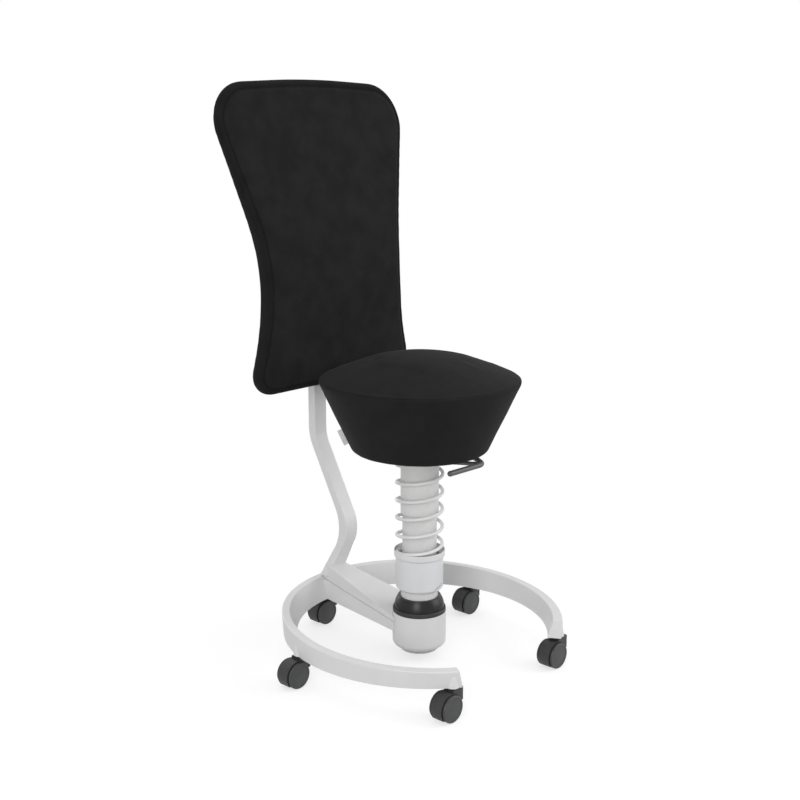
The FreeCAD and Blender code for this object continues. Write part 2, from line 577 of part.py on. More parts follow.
# Piston rod with its piston, the thrust bearing under it and the clip below the end plate.
ROD_LOW = "Sizes.lift_low - 6"
PISTON_LOW = "Sizes.cylinder_low + 115"
keep(lathe("rod_turned", [
    ("0", ROD_LOW), ("Sizes.rod_radius", ROD_LOW), ("Sizes.rod_radius", PISTON_LOW),
    ("Sizes.cylinder_radius - 2.05", PISTON_LOW), ("Sizes.cylinder_radius - 2.05", f"{PISTON_LOW} + 12"),
    ("0", f"{PISTON_LOW} + 12"),
]), "piston_rod")
keep(ring("bearing_ring", "Sizes.rod_radius", "15", "Sizes.lift_low + 6.2", "Sizes.lift_low + 13"),
     "thrust_bearing")
keep(ring("clip_ring", "Sizes.rod_radius", "9", f"{ROD_LOW} + 1", "Sizes.lift_low - 0.3"), "rod_clip")

# Gas cylinder with its valve button on top.
CYLINDER_BORE = "Sizes.cylinder_radius - 2"
keep(lathe("cylinder_turned", [
    ("Sizes.rod_radius + Sizes.pin_play", "Sizes.cylinder_low"),
    ("Sizes.cylinder_radius", "Sizes.cylinder_low"),
    ("Sizes.cylinder_radius", "Sizes.cylinder_top"), ("4.05", "Sizes.cylinder_top"),
    ("4.05", "Sizes.cylinder_top - 8"),
    (CYLINDER_BORE, "Sizes.cylinder_top - 8"), (CYLINDER_BORE, "Sizes.cylinder_low + 10"),
    ("Sizes.rod_radius + Sizes.pin_play", "Sizes.cylinder_low + 10"),
]), "gas_cylinder")
keep(cylinder("button_bar", "4", "12", z="Sizes.cylinder_top - 5"), "valve_button")

# Seat mount: a steel plate with a hub on the cylinder and two ears for the lever's pin.
LEVER_AXIS = "Sizes.seat_low + 4.5"
hub_plate = lathe("mount_turned", [
    ("Sizes.cylinder_radius", "Sizes.seat_low - Sizes.mount_thick"),
    ("Sizes.mount_plate", "Sizes.seat_low - Sizes.mount_thick"),
    ("Sizes.mount_plate", "Sizes.seat_low"), ("22", "Sizes.seat_low"), ("22", "Sizes.cylinder_top - 2"),
    ("Sizes.cylinder_radius", "Sizes.cylinder_top - 2"),
])
lever_ears = [block(f"lever_ear_{k}", "3", "10", "9.5", x, "Sizes.lever_pivot - 5", "Sizes.seat_low")
              for k, x in enumerate(("-12", "9"))]
SEAT_SCREWS = [("58", "58"), ("-58", "58"), ("-58", "-58"), ("58", "-58")]


def seat_screw(name, x, y):
    head = cylinder(f"{name}_head", "6", "3.5", x, y, "Sizes.seat_low - Sizes.mount_thick - 3.5")
    shank = cylinder(f"{name}_shank", "3", "15", x, y, "Sizes.seat_low - Sizes.mount_thick")
    return fuse(name, [head, shank])


plate_tools = fuse("mount_tools", [
    block("lever_slot", "16", "22", "20", "-8", "Sizes.lever_pivot - 11", "Sizes.seat_low - 12"),
    cylinder("lever_pin_hole", "2.5", "30", x="-15", y="Sizes.lever_pivot", z=LEVER_AXIS, along="X")]
    + [cylinder(f"mount_hole_{k}", "3", "20", x, y, "Sizes.seat_low - 10")
       for k, (x, y) in enumerate(SEAT_SCREWS)])
keep(cut("mount_drilled", fuse("mount_with_ears", [hub_plate] + lever_ears), plate_tools), "seat_mount")
keep(cylinder("lever_pin_bar", "2.5", "24", x="-12", y="Sizes.lever_pivot", z=LEVER_AXIS, along="X"),
     "lever_pin")
keep(group("seat_screw_set", [seat_screw(f"seat_screw_{k}", x, y) for k, (x, y) in enumerate(SEAT_SCREWS)]),
     "seat_screws")

# Seat board, the cushion with its side band, and the domed top pad inside the seam.
RECESS_TOP = "Sizes.seat_low + Sizes.board_thick"
board = ring("board_disc", "Sizes.board_hole", "Sizes.board_radius", "Sizes.seat_low", RECESS_TOP)
board_holes = fuse("board_holes", [cylinder(f"board_hole_{k}", "3", "30", x, y, "Sizes.seat_low - 5")
                                   for k, (x, y) in enumerate(SEAT_SCREWS)])
keep(cut("board_drilled", board, board_holes), "seat_board")
SHELL_TOP = "Sizes.seat_seam - 30"
side_band = lathe("band_turned", [
    ("Sizes.board_radius", "Sizes.seat_low"), ("Sizes.seat_low_radius - 5", "Sizes.seat_low"),
    ("Sizes.seat_low_radius + 1", "Sizes.seat_low + 4"), ("Sizes.seat_radius - 1", "Sizes.seat_seam - 9"),
    ("Sizes.seat_radius", "Sizes.seat_seam - 4"), ("Sizes.seat_radius", "Sizes.seat_seam"),
    ("170", "Sizes.seat_seam"), ("150", SHELL_TOP), ("Sizes.board_hole", SHELL_TOP),
    ("Sizes.board_hole", RECESS_TOP), ("Sizes.board_radius", RECESS_TOP),
])
keep(side_band, "seat_cushion")
crown = doc.addObject("Part::Sphere", "crown_ball")
crown_rise = "(Sizes.seat_top - Sizes.seat_seam)"
crown_ball = f"(Sizes.seat_radius ^ 2 + {crown_rise} ^ 2) / (2 * {crown_rise})"
bind(crown, Radius=crown_ball, Placement_Base_z=f"Sizes.seat_top - {crown_ball}")
crown_core = lathe("crown_core", [
    ("0", SHELL_TOP), ("150", SHELL_TOP), ("170", "Sizes.seat_seam"),
    ("Sizes.seat_radius", "Sizes.seat_seam"),
    ("Sizes.seat_radius", "Sizes.seat_top + 5"), ("0", "Sizes.seat_top + 5")])
keep(common("crown_pad", crown_core, crown), "seat_top_pad")

# Blank fabric tab: a thin flag that stands out of the side band, at the left of the sitter.
TAB_DEG = 136.0
TAB_RISE = 15.0
TAB_ROOT = 3.0
band_height = size("seat_seam") - size("seat_low") - 13
band_slope = math.atan2(size("seat_radius") - size("seat_low_radius") - 2, band_height)
tab_radius = size("seat_low_radius") + 1 + (TAB_RISE - 4) * math.tan(band_slope) - TAB_ROOT
tab_turn = FreeCAD.Rotation(FreeCAD.Vector(0, 0, 1), TAB_DEG)
tab_lean = FreeCAD.Rotation(FreeCAD.Vector(0, 1, 0), math.degrees(band_slope))
tab_spot = tab_turn.multVec(FreeCAD.Vector(tab_radius, -0.6, size("seat_low") + TAB_RISE))
tab = bind(doc.addObject("Part::Box", "tab_flag"), Length="12", Width="1.2", Height="33")
tab.Placement = FreeCAD.Placement(tab_spot, tab_turn * tab_lean)
keep(cut("tab_trimmed", tab, side_band), "seat_tab")

# Height lever: a finger over the valve button, a drop through the plate, a bent rod and its stay.
LEVER_ROUTE = [(0.0, -58.0), (80.0, -66.0), (44.0, -128.0), (-52.0, -126.0)]
LEVER_BENDS = (18.0, 22.0)


def bent_path(points, bends, height):
    """Straight runs joined by tangent arcs, level at a height."""
    spots = [FreeCAD.Vector(x, y, height) for x, y in points]
    edges = []
    start = spots[0]
    for before, corner, after, radius in zip(spots, spots[1:], spots[2:], bends):
        back = (before - corner).normalize()
        ahead = (after - corner).normalize()
        half = back.getAngle(ahead) / 2
        reach = radius / math.tan(half)
        middle = corner + (back + ahead).normalize() * (radius / math.sin(half) - radius)
        edges.append(Part.makeLine(start, corner + back * reach))
        edges.append(Part.Arc(corner + back * reach, middle, corner + ahead * reach).toShape())
        start = corner + ahead * reach
    edges.append(Part.makeLine(start, spots[-1]))
    return Part.Wire(edges)


lever_path = bent_path(LEVER_ROUTE, LEVER_BENDS, size("lever_height"))
rod_start = FreeCAD.Vector(*LEVER_ROUTE[0], size("lever_height"))
rod_turn = FreeCAD.Vector(*LEVER_ROUTE[1], size("lever_height"))
rod_ring = Part.Wire(Part.makeCircle(size("lever_radius"), rod_start, rod_turn - rod_start))
lever_rod = doc.addObject("Part::Feature", "lever_rod")
lever_rod.Shape = lever_path.makePipeShell([rod_ring], True, True)
lever_tip = doc.addObject("Part::Sphere", "lever_tip")
bind(lever_tip, Radius="Sizes.lever_radius", Placement_Base_z="Sizes.lever_height")
lever_tip.Placement.Base.x = LEVER_ROUTE[-1][0]
lever_tip.Placement.Base.y = LEVER_ROUTE[-1][1]
stay = cylinder("lever_stay", "4", "77", y="Sizes.lever_pivot", z="Sizes.lever_height")
stay.Placement.Rotation = FreeCAD.Rotation(FreeCAD.Vector(0, 0, 1), FreeCAD.Vector(37, -60, 0))
drop = block("lever_drop", "12", "10", "Sizes.cylinder_top + 17 - Sizes.lever_height",
             "-6", "Sizes.lever_pivot - 5", "Sizes.lever_height - 5")
finger = block("lever_finger", "12", "6 - Sizes.lever_pivot", "4.5",
               "-6", "Sizes.lever_pivot", "Sizes.cylinder_top + 7.4")
lever_hole = cylinder("lever_hole", "2.5 + Sizes.pin_play", "30",
                      x="-15", y="Sizes.lever_pivot", z=LEVER_AXIS, along="X")
lever_solid = fuse("lever_solid", [lever_rod, lever_tip, stay, drop, finger])
keep(cut("lever_drilled", lever_solid, lever_hole), "height_lever")

# Backrest post: a flat bar with two bends, fused to a flared foot that lies on the spine.
ROOT_Y = "262"
ROOT_Z = "112"
path = [("Sizes.post_stand", "Sizes.post_top"), ("Sizes.post_stand", "Sizes.post_knee"),
        ("Sizes.post_waist", "Sizes.post_waist_height"), (ROOT_Y, ROOT_Z)]
rear = [(f"{y} + Sizes.post_half_depth", z) for y, z in path]
front = [(f"{y} - Sizes.post_half_depth", z) for y, z in reversed(path)]
bar = slab("post_bar", "YZ_Plane", rear + front, "2 * Sizes.post_half_width")


def bend_edge(y_alias, z_alias, side):
    """The edge across the bar at one bend, on its rear (+1) or front (-1) face."""
    y = size(y_alias) + side * size("post_half_depth")
    z = size(z_alias)
    return lambda edge: (abs(edge.CenterOfMass.y - y) < 0.1 and abs(edge.CenterOfMass.z - z) < 0.1
                         and edge.Length > 30)


for side in (1, -1):
    bend = f"Sizes.post_bend + {10 * side}"
    rounded(bar, f"post_knee_{side + 1}", bend, bend_edge("post_stand", "post_knee", side))
    rounded(bar, f"post_waist_{side + 1}", bend, bend_edge("post_waist", "post_waist_height", side))
rounded(bar, "post_long_edges", "Sizes.post_edge",
        lambda edge: abs(edge.BoundBox.XMin - edge.BoundBox.XMax) < 0.01 and edge.BoundBox.ZLength > 30)

def foot_slice(name, near, far, inset, low, near_top, far_top):
    """A wedge that follows the spine's flare, from a height above the spine to its own top."""
    wedge = doc.addObject("Part::Wedge", name)
    near_half = f"({spine_half(near)} - {inset})"
    far_half = f"({spine_half(far)} - {inset})"
    return bind(wedge, Xmin=f"-{near_half}", Xmax=near_half, X2min=f"-{far_half}", X2max=far_half, Ymin=near,
                Ymax=far,
                Zmin=f"{spine_top(near)} + {low}", Zmax=near_top, Z2min=f"{spine_top(far)} + {low}",
                Z2max=far_top)


foot_wedge = foot_slice("foot_wedge", "Sizes.foot_near", "Sizes.foot_far", "0", "Sizes.foot_lift",
                        "Sizes.foot_near_top", "Sizes.foot_far_top")
PLINTH_END = "(Sizes.foot_far - Sizes.plinth_inset)"
plinth = foot_slice("foot_plinth", "Sizes.foot_near", PLINTH_END, "Sizes.plinth_inset", "0",
                    f"{spine_top('Sizes.foot_near')} + 3", f"{spine_top(PLINTH_END)} + 3")

# The bar widens into the foot, and the foot ends in line with the bar's rear face.
flare_y = (f"({ROOT_Y} + (Sizes.root_flare_top - {ROOT_Z}) * (Sizes.post_waist - {ROOT_Y})"
           f" / (Sizes.post_waist_height - {ROOT_Z}))")
root = doc.addObject("Part::Wedge", "post_root")
root.Placement.Rotation = FreeCAD.Rotation(FreeCAD.Vector(1, 0, 0), 90)
bind(root, Ymin=ROOT_Z, Ymax="Sizes.root_flare_top", Xmin="-Sizes.root_half_width",
     Xmax="Sizes.root_half_width",
     X2min="-Sizes.post_half_width + 0.5", X2max="Sizes.post_half_width - 0.5",
     Zmin=f"-{ROOT_Y} - Sizes.post_half_depth", Zmax=f"-{ROOT_Y} + Sizes.post_half_depth",
     Z2min=f"-{flare_y} - Sizes.post_half_depth", Z2max=f"-{flare_y} + Sizes.post_half_depth")
behind_bar = slab("behind_bar", "YZ_Plane", [
    (f"{ROOT_Y} + Sizes.post_half_depth", ROOT_Z),
    (f"{flare_y} + Sizes.post_half_depth", "Sizes.root_flare_top"),
    ("400", "Sizes.root_flare_top"), ("400", ROOT_Z)], "200")
foot = cut("foot_trimmed", foot_wedge, behind_bar)
hub_room = cylinder("hub_room", "Sizes.hub_radius + 0.6", "200", z="0")
BACK_SCREWS = ("640", "690")


def back_screw(name, z):
    head = cylinder(f"{name}_head", "5.5", "4", y="Sizes.post_stand + Sizes.post_half_depth", z=z, along="Y")
    shank = cylinder(f"{name}_shank", "3", "Sizes.post_stand + Sizes.post_half_depth - 254", y="254", z=z,
                     along="Y")
    return fuse(name, [head, shank])


post_tools = fuse("post_tools", [hub_room]
                  + [post_screw(f"foot_hole_{k}", y) for k, y in enumerate(POST_SCREWS)]
                  + [back_screw(f"post_back_hole_{k}", z) for k, z in enumerate(BACK_SCREWS)])
keep(cut("post_drilled", fuse("post_solid", [bar, root, foot, plinth]), post_tools), "backrest_post")
keep(group("back_screw_set", [back_screw(f"back_screw_{k}", z) for k, z in enumerate(BACK_SCREWS)]),
     "backrest_screws")

# Backrest: an hourglass outline across, an upright lower part and a leaning upper part along.
BACK_ROUNDS = (("32", "back_low", "back_low_half"), ("460", "back_waist", "back_waist_half"),
               ("78", "back_shoulder", "back_shoulder_half"))


def back_outline(name):
    corners = [("-Sizes.back_low_half", "Sizes.back_low"), ("Sizes.back_low_half", "Sizes.back_low"),
               ("Sizes.back_waist_half", "Sizes.back_waist"),
               ("Sizes.back_shoulder_half", "Sizes.back_shoulder"),
               ("0", "Sizes.back_top"), ("-Sizes.back_shoulder_half", "Sizes.back_shoulder"),
               ("-Sizes.back_waist_half", "Sizes.back_waist")]
    body = slab(name, "XZ_Plane", corners, "1200")
    for radius, height, half in BACK_ROUNDS:
        rounded(body, f"{name}_{height}", radius,
                lambda edge, z=size(height), x=size(half): abs(edge.CenterOfMass.z - z) < 0.1
                and abs(abs(edge.CenterOfMass.x) - x) < 0.1 and edge.Length > 1000)
    return body


def back_layer(name, front_face, rear_face):
    """One layer of the back, between two offsets from its middle surface."""
    def at(offset):
        top = f"Sizes.back_middle + ({offset}) + (1300 - Sizes.back_bend) * Sizes.back_lean"
        return [(f"Sizes.back_middle + ({offset})", "400"),
                (f"Sizes.back_middle + ({offset})", "Sizes.back_bend"), (top, "1300")]
    corners = at(front_face) + list(reversed(at(rear_face)))
    body = slab(name, "YZ_Plane", corners, "700")
    rounded(body, f"{name}_bend", "Sizes.back_radius",
            lambda edge: abs(edge.CenterOfMass.z - size("back_bend")) < 0.1 and edge.Length > 600)
    return body


BOARD_FRONT = "8"
BOARD_REAR = "18"
bracket_room = block("bracket_room", "52", "60", "126", "-26", "Sizes.back_middle + 18", "589")
board_screw_holes = fuse("board_screw_holes", [back_screw(f"board_back_hole_{k}", z)
                                               for k, z in enumerate(BACK_SCREWS)])
keep(common("back_front_pad", back_layer("front_layer", "-Sizes.back_half", BOARD_FRONT),
            back_outline("front_outline")),
     "backrest_cushion")
keep(cut("back_board_drilled", common("back_board", back_layer("board_layer", BOARD_FRONT, BOARD_REAR),
                                      back_outline("board_outline")), board_screw_holes), "backrest_board")
keep(cut("back_rear_open", common("back_rear", back_layer("rear_layer", BOARD_REAR, "Sizes.back_half"),
                                  back_outline("rear_outline")), bracket_room), "backrest_rear_cover")
bracket = block("bracket_block", "50", "Sizes.post_stand - Sizes.post_half_depth - Sizes.back_middle - 18",
                "124", "-25",
                "Sizes.back_middle + 18", "590")
bracket_holes = fuse("bracket_holes", [back_screw(f"bracket_hole_{k}", z)
                                       for k, z in enumerate(BACK_SCREWS)])
keep(cut("bracket_drilled", bracket, bracket_holes), "backrest_bracket")

# Casters: a hood over two wheels that run on its axle, with the stem in a block at its front.
WHEEL_BORE = "3.05"
AXLE_HALF = "15"
STEM_STEP = "Sizes.hood_top - 2"


def caster(place, x, y):
    axle_x = f"{x} - Sizes.caster_trail"
    drum = cylinder(f"hood_drum_{place}", "Sizes.hood_radius", "2 * Sizes.hood_half", axle_x,
                    f"{y} - Sizes.hood_half",
                    "Sizes.wheel_radius", "Y")
    neck = doc.addObject("PartDesign::Body", f"hood_neck_{place}")
    neck_pad = neck.newObject("PartDesign::Pad", f"hood_neck_pad_{place}")
    neck_pad.Profile = outline(neck, f"hood_neck_outline_{place}", "XY_Plane", [
        ("-12", "-Sizes.neck_half"), ("Sizes.neck_front", "-Sizes.neck_half"),
        ("Sizes.neck_front", "Sizes.neck_half"), ("-12", "Sizes.neck_half")])
    bind(neck_pad, Length="Sizes.hood_top - 33")
    front_x = size("neck_front")
    rounded(neck, f"hood_neck_corners_{place}", "4",
            lambda edge: abs(edge.CenterOfMass.x - front_x) < 0.1 and edge.BoundBox.ZLength > 5)
    bind(neck, Placement_Base_x=x, Placement_Base_y=y, Placement_Base_z="33")
    rooms = [cylinder(f"wheel_room_{side}_{place}", "Sizes.hood_room", "30", axle_x, start,
                      "Sizes.wheel_radius", "Y")
             for side, start in (("near", f"{y} - Sizes.hood_web - 30"), ("far", f"{y} + Sizes.hood_web"))]
    underside = block(f"hood_underside_{place}", "80", "40", "Sizes.hood_low + 20", f"{axle_x} - 40",
                      f"{y} - 20", "-20")
    stem_room = cylinder(f"hood_stem_room_{place}", "Sizes.stem_root", "60", x, y, "Sizes.stem_low")
    stem_seat = cylinder(f"hood_stem_seat_{place}", "Sizes.stem_radius", "20", x, y, STEM_STEP)
    shell = cut(f"hood_shell_{place}", fuse(f"hood_solid_{place}", [drum, neck]),
                fuse(f"hood_tools_{place}", rooms + [underside]))
    axle = cylinder(f"hood_axle_{place}", "3", f"2 * {AXLE_HALF}", axle_x, f"{y} - {AXLE_HALF}",
                    "Sizes.wheel_radius", "Y")
    keep(cut(f"hood_cut_{place}", fuse(f"hood_with_axle_{place}", [shell, axle]),
             fuse(f"hood_stem_tools_{place}", [stem_room, stem_seat])), f"caster_hood_{place}")
    stem = lathe(f"stem_{place}", [
        ("0", "Sizes.stem_low"), ("Sizes.stem_root", "Sizes.stem_low"), ("Sizes.stem_root", STEM_STEP),
        ("Sizes.stem_radius", STEM_STEP), ("Sizes.stem_radius", "Sizes.stem_top - 2"),
        ("Sizes.stem_radius - 2", "Sizes.stem_top"), ("0", "Sizes.stem_top")])
    keep(bind(stem, Placement_Base_x=x, Placement_Base_y=y), f"caster_stem_{place}")
    for side, turn in (("near", 90), ("far", -90)):
        wheel = lathe(f"wheel_{side}_{place}", [
            (WHEEL_BORE, "0"), ("Sizes.wheel_radius", "0"),
            ("Sizes.wheel_radius", "Sizes.wheel_width - 3.8 - Sizes.wheel_groove"),
            ("Sizes.wheel_radius - Sizes.wheel_groove", "Sizes.wheel_width - 3.8 - Sizes.wheel_groove"),
            ("Sizes.wheel_radius - Sizes.wheel_groove", "Sizes.wheel_width - 3.8"),
            ("Sizes.wheel_radius", "Sizes.wheel_width - 3.8"),
            ("Sizes.wheel_radius", "Sizes.wheel_width - 2"),
            ("Sizes.wheel_radius - 0.5", "Sizes.wheel_width - 0.9"),
            ("Sizes.wheel_radius - 1.6", "Sizes.wheel_width - 0.2"),
            ("Sizes.wheel_radius - 4.2", "Sizes.wheel_width - 0.2"),
            ("Sizes.wheel_radius - 4.9", "Sizes.wheel_width - 1"),
            ("0", "Sizes.wheel_width"), ("0", f"{AXLE_HALF} - Sizes.wheel_inner + 0.4"),
            (WHEEL_BORE, f"{AXLE_HALF} - Sizes.wheel_inner + 0.4")])
        wheel.Placement.Rotation = FreeCAD.Rotation(FreeCAD.Vector(1, 0, 0), turn)
        offset = "- Sizes.wheel_inner" if side == "near" else "+ Sizes.wheel_inner"
        bind(wheel, Placement_Base_x=axle_x, Placement_Base_y=f"{y} {offset}",
             Placement_Base_z="Sizes.wheel_radius")
        keep(wheel, f"caster_wheel_{side}_{place}")


for place, (x, y) in CASTERS.items():
    caster(place, x, y)

doc.recompute()

# Nothing is written unless every object is sound.
for item in doc.Objects:
    if "Invalid" in item.State or "Error" in item.State:
        raise RuntimeError(f"{item.Name} failed: {item.State}")
for part in PARTS:
    if part.Shape.isNull() or not part.Shape.isValid():
        raise RuntimeError(f"{part.Label} has no sound shape")

os.makedirs("parts", exist_ok=True)
for part in PARTS:
    part.Shape.exportStep(f"parts/{part.Label}.step")
    bounds = part.Shape.BoundBox
    print(f"{part.Label}: {len(part.Shape.Solids)} solid, {part.Shape.Volume / 1000:.1f} cm3, "
          f"x {bounds.XMin:.1f}..{bounds.XMax:.1f}, y {bounds.YMin:.1f}..{bounds.YMax:.1f}, "
          f"z {bounds.ZMin:.1f}..{bounds.ZMax:.1f}")
print(f"{len(PARTS)} parts")
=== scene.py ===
import math

import bmesh
import bpy
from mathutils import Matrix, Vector
from mathutils.kdtree import KDTree


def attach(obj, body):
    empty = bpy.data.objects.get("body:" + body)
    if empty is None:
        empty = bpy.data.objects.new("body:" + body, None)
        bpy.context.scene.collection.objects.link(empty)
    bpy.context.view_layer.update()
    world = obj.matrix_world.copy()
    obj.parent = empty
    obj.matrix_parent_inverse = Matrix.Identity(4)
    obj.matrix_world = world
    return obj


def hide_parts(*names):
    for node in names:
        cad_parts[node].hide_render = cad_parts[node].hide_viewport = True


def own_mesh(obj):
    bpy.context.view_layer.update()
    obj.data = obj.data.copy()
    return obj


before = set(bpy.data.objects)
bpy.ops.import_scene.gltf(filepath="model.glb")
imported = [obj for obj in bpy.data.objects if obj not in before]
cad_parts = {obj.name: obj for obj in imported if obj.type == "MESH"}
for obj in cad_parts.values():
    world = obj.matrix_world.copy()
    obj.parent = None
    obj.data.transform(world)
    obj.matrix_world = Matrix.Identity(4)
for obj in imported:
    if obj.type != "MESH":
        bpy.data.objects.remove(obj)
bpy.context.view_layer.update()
bpy.ops.object.select_all(action="DESELECT")


# The base is one aluminium casting: an oval ring open at the front, a flared spine and the hub. It is
# powder coated in a satin light grey, with the faint orange peel that such a coat has. The bent post that
# is screwed to its spine and the foot of the column have the same coat.
def new_finish(name):
    material = bpy.data.materials.new(name)
    material.use_nodes = True
    tree = material.node_tree
    return material, tree, tree.nodes["Principled BSDF"]


def pattern(tree, scale, detail=3.0, stretch=(1.0, 1.0, 1.0)):
    coords = tree.nodes.new("ShaderNodeTexCoord")
    place = tree.nodes.new("ShaderNodeMapping")
    place.inputs["Scale"].default_value = stretch
    noise = tree.nodes.new("ShaderNodeTexNoise")
    noise.inputs["Scale"].default_value = scale
    noise.inputs["Detail"].default_value = detail
    tree.links.new(coords.outputs["Object"], place.inputs["Vector"])
    tree.links.new(place.outputs["Vector"], noise.inputs["Vector"])
    return noise.outputs["Fac"]


def spread(tree, factor, low, high, start=0.3, end=0.7):
    ramp = tree.nodes.new("ShaderNodeMapRange")
    ramp.inputs["From Min"].default_value = start
    ramp.inputs["From Max"].default_value = end
    ramp.inputs["To Min"].default_value = low
    ramp.inputs["To Max"].default_value = high
    tree.links.new(factor, ramp.inputs["Value"])
    return ramp.outputs["Result"]


def tint(tree, shader, factor, dark, light, start=0.3, end=0.7):
    ramp = tree.nodes.new("ShaderNodeValToRGB")
    ramp.color_ramp.elements[0].position = start
    ramp.color_ramp.elements[0].color = (*dark, 1.0)
    ramp.color_ramp.elements[1].position = end
    ramp.color_ramp.elements[1].color = (*light, 1.0)
    tree.links.new(factor, ramp.inputs["Fac"])
    tree.links.new(ramp.outputs["Color"], shader.inputs["Base Color"])


def polish(tree, shader, factor, roughness, change):
    uneven = spread(tree, factor, roughness - change, roughness + change)
    tree.links.new(uneven, shader.inputs["Roughness"])


def relief(tree, shader, height, distance, over=None):
    bump = tree.nodes.new("ShaderNodeBump")
    bump.inputs["Distance"].default_value = distance
    tree.links.new(height, bump.inputs["Height"])
    if over is not None:
        tree.links.new(over.outputs["Normal"], bump.inputs["Normal"])
    tree.links.new(bump.outputs["Normal"], shader.inputs["Normal"])
    return bump


def coat_finish(name, dark, light, roughness=0.42, peel=0.00012):
    material, tree, shader = new_finish(name)
    tint(tree, shader, pattern(tree, scale=9.0, detail=2.0), dark, light)
    polish(tree, shader, pattern(tree, scale=60.0), roughness, change=0.02)
    relief(tree, shader, pattern(tree, scale=650.0, detail=2.0), distance=peel)
    return material


def give(material, *nodes):
    for node in nodes:
        node_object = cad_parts[node]
        node_object.data.materials.clear()
        node_object.data.materials.append(material)


frame_coat = coat_finish("satin_grey_coat", dark=(0.70, 0.70, 0.70), light=(0.74, 0.74, 0.74))
give(frame_coat, "base_frame", "backrest_post", "column_foot")


# The hub is closed from below by a round cap. It is moulded in grey plastic with a fine matt grain, and
# is turned into the casting with a key that fits its notches.
cap_moulding, tree, shader = new_finish("grey_moulding")
tint(tree, shader, pattern(tree, scale=40.0), dark=(0.50, 0.50, 0.51), light=(0.56, 0.56, 0.57))
shader.inputs["Roughness"].default_value = 0.5
relief(tree, shader, pattern(tree, scale=1400.0), distance=0.00008)
give(cap_moulding, "hub_cap")


# Each of the five casters is a black moulded hood over two wheels of a harder, slightly paler plastic. It
# swivels on a turned steel stem, which stands in a sleeve in the ring.
def moulded_black(name, dark, light, roughness, grain):
    material, tree, shader = new_finish(name)
    tint(tree, shader, pattern(tree, scale=70.0), dark, light)
    polish(tree, shader, pattern(tree, scale=35.0), roughness, change=0.06)
    relief(tree, shader, pattern(tree, scale=1600.0, detail=2.0), distance=grain)
    return material


CASTER_PLACES = ("front_left", "front_right", "side_left", "side_right", "back")
hood_black = moulded_black("caster_hood_black", dark=(0.018, 0.018, 0.019), light=(0.026, 0.026, 0.027),
                           roughness=0.5, grain=0.0001)
give(hood_black, *[f"caster_hood_{place}" for place in CASTER_PLACES])
wheel_black = moulded_black("caster_wheel_black", dark=(0.032, 0.033, 0.034), light=(0.044, 0.045, 0.046),
                            roughness=0.45, grain=0.00006)
give(wheel_black, *[f"caster_wheel_{side}_{place}" for side in ("near", "far") for place in CASTER_PLACES])
stem_steel, tree, shader = new_finish("turned_steel")
brush = pattern(tree, scale=220.0, detail=4.0, stretch=(1.0, 1.0, 12.0))
shader.inputs["Metallic"].default_value = 1.0
tint(tree, shader, brush, dark=(0.42, 0.42, 0.43), light=(0.56, 0.56, 0.57))
polish(tree, shader, brush, roughness=0.34, change=0.08)
relief(tree, shader, brush, distance=0.00004)
give(stem_steel, *[f"caster_stem_{place}" for place in CASTER_PLACES])


# Screws, pins, the ring of the gimbal and the inner parts of the gas lift are plain steel like the caster
# stems. They are turned or pressed to shape, hold the other pieces together, and are mostly out of sight.
give(stem_steel, "post_screws", "hub_pins", "backrest_screws", "gimbal_ring", "column_pins", "lift_end_plate",
     "piston_rod", "thrust_bearing", "rod_clip", "seat_screws", "lever_pin", "valve_button")


# The column's tubes and the caster stems run in bushes and sleeves of dark slide plastic. They are
# moulded, pressed into place, and do not show.
slide_plastic = moulded_black("slide_plastic", dark=(0.05, 0.05, 0.05), light=(0.07, 0.07, 0.07),
                              roughness=0.4, grain=0.00004)
give(slide_plastic, "lower_bush", "upper_bush", "guide_bush", "caster_sockets")


# A lip of soft black rubber sits round the mouth of the hub. A buffer of the same rubber inside the hub
# brings the column back upright.
soft_rubber = moulded_black("soft_rubber", dark=(0.016, 0.016, 0.016), light=(0.024, 0.024, 0.024),
                            roughness=0.62, grain=0.00012)
give(soft_rubber, "hub_lip", "tilt_buffer")


# A black dome covers the gimbal and leans with the column. It is a smooth moulding with a low shine,
# fitted round the column's foot.
dome_black = moulded_black("dome_black", dark=(0.009, 0.009, 0.010), light=(0.012, 0.012, 0.013),
                           roughness=0.30, grain=0.00002)
dome_black.node_tree.nodes["Principled BSDF"].inputs["Specular IOR Level"].default_value = 0.28
give(dome_black, "hub_dome")


# The column's steel tubes slide in one another and are lacquered a little darker than the casting. The
# cup turns on the lower tube to set the spring. It and the flange above the spring have a paler, cooler
# lacquer.
tube_coat = coat_finish("tube_lacquer", dark=(0.66, 0.66, 0.655), light=(0.69, 0.69, 0.685),
                        roughness=0.34, peel=0.00002)
give(tube_coat, "lower_tube", "upper_tube", "guide_tube")
cup_coat = coat_finish("cup_lacquer", dark=(0.70, 0.705, 0.712), light=(0.72, 0.725, 0.732),
                       roughness=0.30, peel=0.000006)
give(cup_coat, "spring_cup", "spring_flange")


# The spring is wound from one round steel wire and lacquered pale grey. It stands in the cup, bears on
# the flange above it, and closes as the seat bounces.
def finished(piece, kind, name, **settings):
    modifier = piece.modifiers.new(name, kind)
    for key, value in settings.items():
        setattr(modifier, key, value)
    bpy.context.view_layer.objects.active = piece
    bpy.ops.object.modifier_apply(modifier=name)


